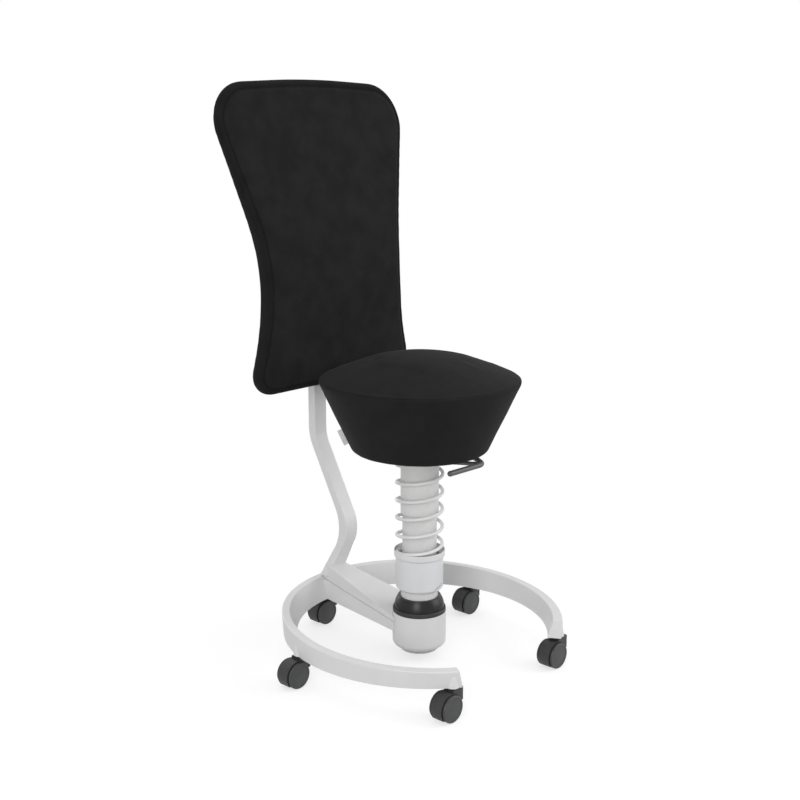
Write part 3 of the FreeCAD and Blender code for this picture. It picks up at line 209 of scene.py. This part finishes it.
COIL_RADIUS = 0.0463
WIRE_RADIUS = 0.0036
WIRE_SIDES = 16
COIL_LOW = 0.2234
COIL_HIGH = 0.4201
COIL_PITCH = 0.0368
COIL_START = math.radians(107.8)
COIL_STEPS = 300
COIL_CORNER = math.radians(50)
turns = (COIL_HIGH - COIL_LOW) / COIL_PITCH
bpy.ops.mesh.primitive_circle_add(vertices=WIRE_SIDES, radius=WIRE_RADIUS,
                                  location=(COIL_RADIUS, 0, COIL_LOW), rotation=(math.pi / 2, 0, 0))
spring = bpy.context.object
spring.name = "coil_spring_wire"
bpy.ops.object.transform_apply(location=True, rotation=True, scale=True)
finished(spring, "SCREW", "winding", angle=2 * math.pi * turns, screw_offset=COIL_HIGH - COIL_LOW,
         steps=COIL_STEPS, render_steps=COIL_STEPS, use_smooth_shade=True)
bpy.ops.object.mode_set(mode="EDIT")
bpy.ops.mesh.select_all(action="SELECT")
bpy.ops.mesh.remove_doubles(threshold=0.00001)
bpy.ops.mesh.select_all(action="DESELECT")
bpy.ops.mesh.select_non_manifold()
bpy.ops.mesh.edge_face_add()
bpy.ops.mesh.select_all(action="SELECT")
bpy.ops.mesh.normals_make_consistent(inside=False)
bpy.ops.transform.rotate(value=-COIL_START, orient_axis="Z", center_override=(0, 0, 0))
bpy.ops.object.mode_set(mode="OBJECT")
bpy.ops.object.shade_smooth_by_angle(angle=COIL_CORNER)
spring_coat = coat_finish("spring_lacquer", dark=(0.72, 0.72, 0.72), light=(0.78, 0.78, 0.78),
                          roughness=0.3, peel=0.00004)
spring.data.materials.append(spring_coat)
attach(spring, "column")
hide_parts("coil_spring")
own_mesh(spring)


# Under the seat a steel mount with a black coat sits on the gas cylinder, which is coated like it, as is
# the block between the post and the back. The height lever is a bent steel rod in dark grey, held by a
# pin in the mount.
mount_black = coat_finish("black_steel_coat", dark=(0.020, 0.020, 0.021), light=(0.028, 0.028, 0.029),
                          roughness=0.45, peel=0.0001)
give(mount_black, "gas_cylinder", "seat_mount", "backrest_bracket")
lever_grey = coat_finish("dark_grey_coat", dark=(0.060, 0.060, 0.061), light=(0.078, 0.078, 0.079),
                         roughness=0.4, peel=0.00006)
give(lever_grey, "height_lever")


# The seat is built up on a round board of bare plywood, which is screwed to the mount. Its veneer has a
# long grain, and the cushion hides all of it from above.
plywood, tree, shader = new_finish("plywood")
veneer = pattern(tree, scale=26.0, detail=6.0, stretch=(1.0, 14.0, 1.0))
tint(tree, shader, veneer, dark=(0.36, 0.24, 0.13), light=(0.56, 0.42, 0.26))
shader.inputs["Roughness"].default_value = 0.65
relief(tree, shader, veneer, distance=0.0002)
give(plywood, "seat_board")


# The seat's side is foam on the board under one conical band of black microfibre. The cloth is drawn
# tight from the seam at the rim and turned in under the lower edge. Its short matt nap lies this way and
# that, which shows as soft lighter and darker clouds.
def microfibre(name, dark, light):
    material, tree, shader = new_finish(name)
    tint(tree, shader, pattern(tree, scale=24.0, detail=10.0), dark, light, start=0.35, end=0.65)
    shader.inputs["Roughness"].default_value = 0.88
    shader.inputs["Specular IOR Level"].default_value = 0.10
    shader.inputs["Sheen Weight"].default_value = 0.02
    shader.inputs["Sheen Roughness"].default_value = 0.5
    nap = relief(tree, shader, pattern(tree, scale=110.0, detail=4.0), distance=0.00035)
    relief(tree, shader, pattern(tree, scale=1400.0), distance=0.00025, over=nap)
    return material


def in_order(piece):
    mesh = bmesh.from_edit_mesh(piece.data)
    mesh.verts.index_update()
    count = len(mesh.verts)
    for parts in (mesh.edges, mesh.faces):
        corners = {part: sorted(vertex.index for vertex in part.verts) for part in parts}
        parts.sort(key=lambda part: corners[part][0] * count + corners[part][1])
    bmesh.update_edit_mesh(piece.data)


def turned(name, profile, sides):
    radius, height = profile[0]
    bpy.ops.object.select_all(action="DESELECT")
    bpy.ops.mesh.primitive_circle_add(vertices=sides, radius=radius, location=(0, 0, height))
    piece = bpy.context.object
    piece.name = name
    bpy.ops.object.transform_apply(location=True, rotation=True, scale=True)
    bpy.ops.object.mode_set(mode="EDIT")
    bpy.ops.mesh.select_all(action="SELECT")
    for next_radius, next_height in profile[1:]:
        widen = next_radius / radius
        bpy.ops.mesh.extrude_region_move(TRANSFORM_OT_translate={"value": (0, 0, next_height - height)})
        bpy.ops.transform.resize(value=(widen, widen, 1), center_override=(0, 0, 0))
        radius, height = next_radius, next_height
    bpy.ops.mesh.select_all(action="SELECT")
    bpy.ops.mesh.remove_doubles(threshold=0.00002)
    bpy.ops.mesh.normals_make_consistent(inside=False)
    in_order(piece)
    bpy.ops.object.mode_set(mode="OBJECT")
    return piece


def pick_edges(piece, wanted):
    bpy.ops.object.mode_set(mode="EDIT")
    bpy.ops.mesh.select_mode(type="EDGE")
    bpy.ops.mesh.select_all(action="DESELECT")
    mesh = bmesh.from_edit_mesh(piece.data)
    for edge in mesh.edges:
        if wanted(edge.verts[0].co, edge.verts[1].co):
            edge.select_set(True)
    bmesh.update_edit_mesh(piece.data)


SEAT_SIDES = 160
CLOSE = 0.0005
BAND_HOLE = 0.1262
BAND_FOOT = 0.1351
BAND_FOOT_ROUND = 0.0088
BAND_LEDGE = 0.1700
BAND_LOW = 0.4412
BAND_INNER = 0.4700
BAND_TOP = 0.5868
BAND_RIM = ((0.1998, 0.5797), (0.20055, 0.5831), (0.2003, 0.5850), (0.1996, 0.5864), (0.1975, BAND_TOP))
BAND_SLANT = 0.1
band = turned("seat_band", (
    (BAND_HOLE, BAND_LOW), (BAND_FOOT, BAND_LOW), *BAND_RIM, (BAND_LEDGE, BAND_TOP), (BAND_HOLE, BAND_INNER),
    (BAND_HOLE, BAND_LOW)), SEAT_SIDES)
pick_edges(band, lambda a, b: all(
    abs(end.xy.length - BAND_FOOT) + abs(end.z - BAND_LOW) < CLOSE for end in (a, b)))
bpy.ops.mesh.bevel(offset=BAND_FOOT_ROUND, segments=6, profile=0.5)
pick_edges(band, lambda a, b: (
    abs(a.z - b.z) > BAND_SLANT and min(a.xy.length, b.xy.length) > BAND_HOLE + CLOSE))
bpy.ops.mesh.subdivide(number_cuts=26)
bpy.ops.object.mode_set(mode="OBJECT")
finished(band, "SUBSURF", "smooth", levels=1, render_levels=1)
puckers = bpy.data.textures.new("band_puckers", "CLOUDS")
puckers.noise_scale = 0.05
finished(band, "DISPLACE", "slack", texture=puckers, strength=0.0012, mid_level=0.5, texture_coords="LOCAL")
bpy.ops.object.shade_smooth()
black_microfibre = microfibre("black_microfibre", dark=(0.0125, 0.0125, 0.0129),
                              light=(0.0152, 0.0152, 0.0157))
band.data.materials.append(black_microfibre)
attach(band, "seat")
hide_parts("seat_cushion")


# The seat's top is a round of the same cloth over domed foam. It is sewn to the band a little inside the
# rim, and the foam presses it out.
PLUMP_STEPS = 20


def plumped(pad, pressure, reach):
    rest = [vertex.co.copy() for vertex in pad.data.vertices]
    stuffing = pad.modifiers.new("stuffing", "CLOTH")
    stuffing.settings.use_pressure = True
    stuffing.settings.uniform_pressure_force = pressure
    stuffing.settings.effector_weights.gravity = 0
    for step in range(1, PLUMP_STEPS + 1):
        bpy.context.scene.frame_set(step)
    bpy.ops.object.modifier_apply(modifier="stuffing")
    for vertex, start in zip(pad.data.vertices, rest):
        move = vertex.co - start
        if move.length > reach:
            vertex.co = start + move.normalized() * reach
    bpy.context.scene.frame_set(1)
    finished(pad, "SUBSURF", "smooth", levels=1, render_levels=1)


CROWN_TOP = 0.6360
CROWN_FALL = 0.0490
CROWN_SPAN = 0.203
CROWN_STEP = 0.008
CROWN_RINGS = 24
CROWN_EDGE = ((0.1990, 0.5867), (0.1999, 0.5874), (0.1990, 0.5886), (0.1977, 0.5897), (0.1962, 0.5905))
crown_arc = [(CROWN_STEP * ring, CROWN_TOP - CROWN_FALL * (CROWN_STEP * ring / CROWN_SPAN) ** 2)
             for ring in range(CROWN_RINGS, 0, -1)]
crown = turned("seat_crown", ((BAND_LEDGE, BAND_TOP), *CROWN_EDGE, *crown_arc), SEAT_SIDES)
pick_edges(crown, lambda a, b: max(a.xy.length, b.xy.length) < CROWN_STEP + CLOSE)
bpy.ops.mesh.merge(type="COLLAPSE")
pick_edges(crown, lambda a, b: all(
    end.z < BAND_TOP + CLOSE and end.xy.length < BAND_LEDGE + CLOSE for end in (a, b)))
bpy.ops.mesh.edge_face_add()
bpy.ops.mesh.select_all(action="SELECT")
bpy.ops.mesh.normals_make_consistent(inside=False)
bpy.ops.object.mode_set(mode="OBJECT")
plumped(crown, pressure=4.0, reach=0.002)
bpy.ops.object.shade_smooth()
crown.data.materials.append(black_microfibre)
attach(crown, "seat")
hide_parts("seat_top_pad")


# A blank tab of white ribbon is sewn into the band near its lower edge. It is folded double, so that its
# outer edge is round, and stands out like a flag.
TAB_OUT = 0.012
TAB_THICK = 0.0012
TAB_TALL = 0.033
TAB_FOLD = 0.00055
TAB_CURL = 0.0016
TAB_WAVE = 2.2
TAB_RADIUS = 0.1402
TAB_HEIGHT = 0.456
TAB_TURN = math.radians(136)
TAB_LEAN = math.radians(25)
TAB_CORNER = math.radians(40)
bpy.ops.object.select_all(action="DESELECT")
bpy.ops.mesh.primitive_cube_add(size=1, location=(TAB_OUT / 2, 0, TAB_TALL / 2))
tab = bpy.context.object
tab.name = "seat_ribbon_tab"
tab.scale = (TAB_OUT, TAB_THICK, TAB_TALL)
bpy.ops.object.transform_apply(location=True, rotation=True, scale=True)
pick_edges(tab, lambda a, b: min(a.x, b.x) > TAB_OUT - CLOSE and abs(a.z - b.z) > TAB_TALL - CLOSE)
bpy.ops.mesh.bevel(offset=TAB_FOLD, segments=4, profile=0.5)
bpy.ops.mesh.select_all(action="SELECT")
bpy.ops.mesh.subdivide(number_cuts=5)
bpy.ops.object.mode_set(mode="OBJECT")
for vertex in tab.data.vertices:
    wave = math.cos(vertex.co.z / TAB_TALL * TAB_WAVE)
    vertex.co.y += TAB_CURL * (vertex.co.x / TAB_OUT) ** 2 * wave
tab.location = (TAB_RADIUS * math.cos(TAB_TURN), TAB_RADIUS * math.sin(TAB_TURN), TAB_HEIGHT)
tab.rotation_euler = (0, TAB_LEAN, TAB_TURN)
bpy.ops.object.transform_apply(location=True, rotation=True, scale=True)
bpy.ops.object.shade_smooth_by_angle(angle=TAB_CORNER)
ribbon, tree, shader = new_finish("white_ribbon")
threads = pattern(tree, scale=900.0, detail=2.0, stretch=(1.0, 1.0, 4.0))
tint(tree, shader, threads, dark=(0.62, 0.62, 0.61), light=(0.74, 0.74, 0.73))
shader.inputs["Roughness"].default_value = 0.7
relief(tree, shader, threads, distance=0.0002)
tab.data.materials.append(ribbon)
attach(tab, "seat")
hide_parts("seat_tab")


# The back's front pad is foam on a plywood board under the same cloth. A flat panel is sewn to a border
# strip that goes round the edge, and the whole pad leans back above the waist. Its cloth is cut a little
# large, because the stuffing draws its edge in.
BACK_LOW = 0.5425
BACK_LOW_HALF = 0.228
BACK_WAIST = 0.763
BACK_WAIST_HALF = 0.1728
BACK_HIGH = 1.1535
BACK_HIGH_HALF = 0.276
BACK_ARCH = 0.0152
BACK_MIDDLE = 0.854
BACK_BEND = 0.790


def pick_corners(piece, wanted):
    bpy.ops.object.mode_set(mode="EDIT")
    bpy.ops.mesh.select_mode(type="VERT")
    bpy.ops.mesh.select_all(action="DESELECT")
    mesh = bmesh.from_edit_mesh(piece.data)
    for vertex in mesh.verts:
        if wanted(vertex.co):
            vertex.select_set(True)
    bmesh.update_edit_mesh(piece.data)


def round_corners(piece, wanted, size, steps, fullness):
    pick_corners(piece, wanted)
    bpy.ops.mesh.bevel(offset=size, affect="VERTICES", segments=steps, profile=fullness)


def back_blank(name):
    bpy.ops.object.select_all(action="DESELECT")
    bpy.ops.mesh.primitive_plane_add(size=2, location=(0, 0, (BACK_LOW + BACK_WAIST) / 2),
                                     rotation=(math.pi / 2, 0, 0))
    blank = bpy.context.object
    blank.name = name
    blank.scale = (BACK_LOW_HALF, (BACK_WAIST - BACK_LOW) / 2, 1)
    bpy.ops.object.transform_apply(location=True, rotation=True, scale=True)
    pick_edges(blank, lambda a, b: min(a.z, b.z) > BACK_WAIST - CLOSE)
    narrow = BACK_WAIST_HALF / BACK_LOW_HALF
    bpy.ops.transform.resize(value=(narrow, 1, 1), center_override=(0, 0, BACK_WAIST))
    bpy.ops.mesh.extrude_region_move(TRANSFORM_OT_translate={"value": (0, 0, BACK_HIGH - BACK_WAIST)})
    widen = BACK_HIGH_HALF / BACK_WAIST_HALF
    bpy.ops.transform.resize(value=(widen, 1, 1), center_override=(0, 0, BACK_HIGH))
    bpy.ops.mesh.subdivide(number_cuts=1)
    pick_corners(blank, lambda spot: abs(spot.x) < CLOSE)
    bpy.ops.transform.translate(value=(0, 0, BACK_ARCH))
    pick_edges(blank, lambda a, b: max(abs(a.z - BACK_WAIST), abs(b.z - BACK_WAIST)) < CLOSE)
    bpy.ops.mesh.dissolve_edges(use_verts=False)
    round_corners(blank, lambda spot: abs(spot.z - BACK_LOW) < CLOSE,
                  size=0.0538, steps=10, fullness=0.478)
    round_corners(blank, lambda spot: abs(spot.z - BACK_WAIST) < CLOSE,
                  size=0.1479, steps=12, fullness=0.557)
    round_corners(blank, lambda spot: abs(spot.x) > BACK_HIGH_HALF - CLOSE,
                  size=0.1006, steps=14, fullness=0.481)
    round_corners(blank, lambda spot: abs(spot.x) < CLOSE,
                  size=0.1101, steps=10, fullness=0.562)
    bpy.ops.object.mode_set(mode="OBJECT")
    return blank


def thickened(blank, wide, tall, deep, front_round, rear_round):
    bpy.ops.object.mode_set(mode="EDIT")
    bpy.ops.mesh.select_all(action="SELECT")
    bpy.ops.transform.resize(value=(wide, 1, tall), center_override=(0, 0, BACK_MIDDLE))
    bpy.ops.mesh.extrude_region_move(TRANSFORM_OT_translate={"value": (0, deep, 0)})
    bpy.ops.mesh.select_all(action="SELECT")
    bpy.ops.mesh.normals_make_consistent(inside=False)
    pick_edges(blank, lambda a, b: max(a.y, b.y) < CLOSE)
    bpy.ops.mesh.bevel(offset=front_round, segments=5, profile=0.5)
    pick_edges(blank, lambda a, b: min(a.y, b.y) > deep - CLOSE)
    bpy.ops.mesh.bevel(offset=rear_round, segments=4, profile=0.5)
    bpy.ops.object.mode_set(mode="OBJECT")
    finished(blank, "REMESH", "even", mode="VOXEL", voxel_size=0.0055)
    finished(blank, "SMOOTH", "settle", factor=0.5, iterations=3)


def bent(height, level, below, above, reach):
    rise = height - BACK_BEND
    turn = min(max(rise + reach, 0.0), 2 * reach)
    return level + below * rise + (above - below) * (turn * turn / (4 * reach) + max(rise - reach, 0.0))


def front_face(height):
    return bent(height, level=0.2203, below=-0.059, above=0.237, reach=0.1028)


def rear_face(height):
    return bent(height, level=0.2623, below=0.0, above=0.178, reach=0.0618)


def grey(level):
    return (level, level, level, 1.0)


def stops(tree, factor, levels):
    ramp = tree.nodes.new("ShaderNodeValToRGB")
    row = ramp.color_ramp.elements
    row[0].position = levels[0][0]
    row[1].position = levels[-1][0]
    for position, _ in levels[1:-1]:
        row.new(position)
    for stop, (_, level) in zip(row, levels):
        stop.color = grey(level)
    tree.links.new(factor, ramp.inputs["Fac"])
    return ramp.outputs["Color"]


SEAM_INSET = 0.013
SEAM_REACH = 0.010
# Across the seam the cloth's colour is multiplied by painted light and shade. It is a little darker over the
# border strip and darkest in the seam's groove, both painted shade, and a little lighter on the panel's edge
# just inside the seam, a painted highlight. The fold of the seam itself is a bump.
SEAM_PAINTED_LIGHT_AND_SHADE = ((0.0, 0.88), (0.18, 0.84), (0.40, 0.60), (0.50, 0.58), (0.58, 1.06), (0.85, 1.0))
SEAM_FOLD = ((0.0, 0.55), (0.22, 0.45), (0.44, 0.0), (0.60, 0.9), (0.70, 0.95), (1.0, 0.7))


# Multiplies the cloth's colour by the seam's painted shade and highlight, and adds the seam's fold as a bump.
def sew_with_painted_shade(material):
    tree = material.node_tree
    shader = tree.nodes["Principled BSDF"]
    plain = shader.inputs["Base Color"].links[0].from_socket
    nap = shader.inputs["Normal"].links[0].from_node
    inset = tree.nodes.new("ShaderNodeAttribute")
    inset.attribute_name = "edge_distance"
    across = spread(tree, inset.outputs["Fac"], low=0.0, high=1.0,
                    start=SEAM_INSET - SEAM_REACH, end=SEAM_INSET + SEAM_REACH)
    painted_seam_shade = tree.nodes.new("ShaderNodeMix")
    painted_seam_shade.data_type = "RGBA"
    painted_seam_shade.blend_type = "MULTIPLY"
    painted_seam_shade.inputs["Factor"].default_value = 1.0
    tree.links.new(plain, painted_seam_shade.inputs["A"])
    tree.links.new(stops(tree, across, SEAM_PAINTED_LIGHT_AND_SHADE), painted_seam_shade.inputs["B"])
    tree.links.new(painted_seam_shade.outputs["Result"], shader.inputs["Base Color"])
    relief(tree, shader, stops(tree, across, SEAM_FOLD), distance=0.0016, over=nap)


PAD_DEEP = 0.040
PAD_SHORT = 0.003
GROOVE_DEEP = 0.0018
GROOVE_WIDE = 0.0035
EDGE_STEPS = 24
EDGE_FLATTEN = 0.8
back_pad = back_blank("backrest_pad")
back_edge = [back_pad.data.vertices[index].co.copy() for index in back_pad.data.polygons[0].vertices]
thickened(back_pad, wide=1.010, tall=1.0045, deep=PAD_DEEP, front_round=0.013, rear_round=0.008)
plumped(back_pad, pressure=4.0, reach=0.003)
edge_finder = KDTree(len(back_edge) * EDGE_STEPS)
for number, (spot, after) in enumerate(zip(back_edge, back_edge[1:] + back_edge[:1])):
    for step in range(EDGE_STEPS):
        along = spot.lerp(after, step / EDGE_STEPS)
        edge_finder.insert((along.x, 0, along.z * EDGE_FLATTEN), number * EDGE_STEPS + step)
edge_finder.balance()
edge_distance = back_pad.data.attributes.new("edge_distance", "FLOAT", "POINT")
for vertex in back_pad.data.vertices:
    inward = 0.0
    if vertex.co.y < PAD_DEEP / 2:
        inward = edge_finder.find((vertex.co.x, 0, vertex.co.z * EDGE_FLATTEN))[2]
    edge_distance.data[vertex.index].value = inward
    front = front_face(vertex.co.z)
    rear = rear_face(vertex.co.z) - PAD_SHORT
    groove = GROOVE_DEEP * math.exp(-((inward - SEAM_INSET) / GROOVE_WIDE) ** 2)
    vertex.co.y = front + vertex.co.y / PAD_DEEP * (rear - front) + groove
bpy.ops.object.shade_smooth()
# The back's front pad gets this cloth, with the seam's painted shade and painted highlight.
microfibre_painted_seam_shade = microfibre("microfibre_painted_seam_shade", dark=(0.0104, 0.0104, 0.0108),
                             light=(0.0152, 0.0152, 0.0157))
sew_with_painted_shade(microfibre_painted_seam_shade)
back_pad.data.materials.append(microfibre_painted_seam_shade)
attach(back_pad, "base")
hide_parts("backrest_cushion", "backrest_board")


# The rear of the back is a thinner padded cover over the board, in the plain cloth. It is a little
# smaller, so its edge shows as a narrow step behind the border strip.
COVER_SUNK = 0.008
rear_cover = back_blank("backrest_rear_panel")
thickened(rear_cover, wide=0.965, tall=0.974, deep=0.010, front_round=0.002, rear_round=0.006)
plumped(rear_cover, pressure=2.0, reach=0.0015)
for vertex in rear_cover.data.vertices:
    vertex.co.y += rear_face(vertex.co.z) - COVER_SUNK
bpy.ops.object.shade_smooth()
rear_cover.data.materials.append(black_microfibre)
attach(rear_cover, "base")
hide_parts("backrest_rear_cover")


# The stool stands on a white floor that takes its soft shadow and runs into a white surround. The floor
# is painted board, matt all over, and fades to plain white a little way out from the base.
def seen_rays(tree):
    path = tree.nodes.new("ShaderNodeLightPath")
    gathered = path.outputs["Is Camera Ray"]
    for kind in ("Is Glossy Ray", "Is Transmission Ray"):
        either = tree.nodes.new("ShaderNodeMath")
        either.operation = "MAXIMUM"
        tree.links.new(gathered, either.inputs[0])
        tree.links.new(path.outputs[kind], either.inputs[1])
        gathered = either.outputs["Value"]
    return gathered


FLOOR_BOUNCE = 0.5
FLOOR_SHADE = 0.42
FLOOR_GLOW = 0.65
FADE_START = 0.55
FADE_END = 1.0
bpy.ops.mesh.primitive_plane_add(size=30, location=(0, 0, -0.0005))
floor = bpy.context.object
floor.name = "studio_floor"
floor_white, tree, shader = new_finish("studio_white")
shader.inputs["Base Color"].default_value = grey(FLOOR_BOUNCE)
shader.inputs["Roughness"].default_value = 1.0
shader.inputs["Specular IOR Level"].default_value = 0.0
shade = tree.nodes.new("ShaderNodeBsdfDiffuse")
shade.inputs["Color"].default_value = grey(FLOOR_SHADE)
glow = tree.nodes.new("ShaderNodeEmission")
glow.inputs["Color"].default_value = grey(FLOOR_GLOW)
near = tree.nodes.new("ShaderNodeAddShader")
tree.links.new(shade.outputs["BSDF"], near.inputs[0])
tree.links.new(glow.outputs["Emission"], near.inputs[1])
far = tree.nodes.new("ShaderNodeEmission")
floor_place = tree.nodes.new("ShaderNodeTexCoord")
from_hub = tree.nodes.new("ShaderNodeVectorMath")
from_hub.operation = "LENGTH"
tree.links.new(floor_place.outputs["Object"], from_hub.inputs[0])
outward = spread(tree, from_hub.outputs["Value"], low=0.0, high=1.0, start=FADE_START, end=FADE_END)
away = tree.nodes.new("ShaderNodeMixShader")
tree.links.new(outward, away.inputs["Fac"])
tree.links.new(near.outputs["Shader"], away.inputs[1])
tree.links.new(far.outputs["Emission"], away.inputs[2])
seen = tree.nodes.new("ShaderNodeMixShader")
tree.links.new(seen_rays(tree), seen.inputs["Fac"])
tree.links.new(shader.outputs["BSDF"], seen.inputs[1])
tree.links.new(away.outputs["Shader"], seen.inputs[2])
tree.links.new(seen.outputs["Shader"], tree.nodes["Material Output"].inputs["Surface"])
floor.data.materials.append(floor_white)


# The surround is plain white to the eye and lights the stool from above, less towards the horizon. A
# broad box stands on each side of the camera, and a weak one behind the back.
HORIZON = grey(0.36)
ZENITH = (0.84, 0.84, 0.85, 1.0)
ZENITH_FROM = 0.9
world = bpy.data.worlds.new("studio")
bpy.context.scene.world = world
world.use_nodes = True
sky = world.node_tree
backdrop = sky.nodes["Background"]
coords = sky.nodes.new("ShaderNodeTexCoord")
axes = sky.nodes.new("ShaderNodeSeparateXYZ")
fade = sky.nodes.new("ShaderNodeValToRGB")
fade.color_ramp.elements[0].position = 0.0
fade.color_ramp.elements[0].color = HORIZON
fade.color_ramp.elements[1].position = ZENITH_FROM
fade.color_ramp.elements[1].color = ZENITH
sky.links.new(coords.outputs["Generated"], axes.inputs["Vector"])
sky.links.new(axes.outputs["Z"], fade.inputs["Fac"])
clear_white = sky.nodes.new("ShaderNodeMix")
clear_white.data_type = "RGBA"
clear_white.inputs["B"].default_value = grey(1.0)
sky.links.new(seen_rays(sky), clear_white.inputs["Factor"])
sky.links.new(fade.outputs["Color"], clear_white.inputs["A"])
sky.links.new(clear_white.outputs["Result"], backdrop.inputs["Color"])


def softbox(name, place, aim, size, power):
    lamp = bpy.data.lights.new(name, "AREA")
    lamp.shape = "RECTANGLE"
    lamp.size = size[0]
    lamp.size_y = size[1]
    lamp.energy = power
    holder = bpy.data.objects.new(name, lamp)
    bpy.context.scene.collection.objects.link(holder)
    holder.location = place
    holder.rotation_euler = (Vector(aim) - Vector(place)).to_track_quat("-Z", "Y").to_euler()


SEAT_MIDDLE = (0.0, 0.0, 0.6)
WAIST_MIDDLE = (0.0, 0.3, 0.7)
softbox("right_box", place=(2.2, -2.2, 1.6), aim=SEAT_MIDDLE, size=(2.0, 2.2), power=40.0)
softbox("camera_box", place=(-3.0, -1.7, 1.5), aim=SEAT_MIDDLE, size=(1.6, 2.2), power=50.0)
softbox("rear_box", place=(0.6, 3.4, 1.0), aim=WAIST_MIDDLE, size=(2.0, 1.6), power=16.0)


# The camera stands where the photograph was taken from: in front of the stool and to one side, above the
# seat. Its place and lens were fitted to the seat's rim, the column's circles, the ring and the casters.
EYE = Vector((-1.83112, -1.67055, 1.10752))
LOOK = Vector((0.70965, 0.66856, -0.22234))
LENS = 57.64
SENSOR = 36.0
view = bpy.data.cameras.new("photo_view")
view.lens = LENS
view.sensor_width = SENSOR
view.sensor_fit = "HORIZONTAL"
camera = bpy.data.objects.new("photo_view", view)
bpy.context.scene.collection.objects.link(camera)
camera.location = EYE
camera.rotation_euler = LOOK.to_track_quat("-Z", "Y").to_euler()
bpy.context.scene.camera = camera
bpy.context.scene.view_settings.view_transform = "Standard"
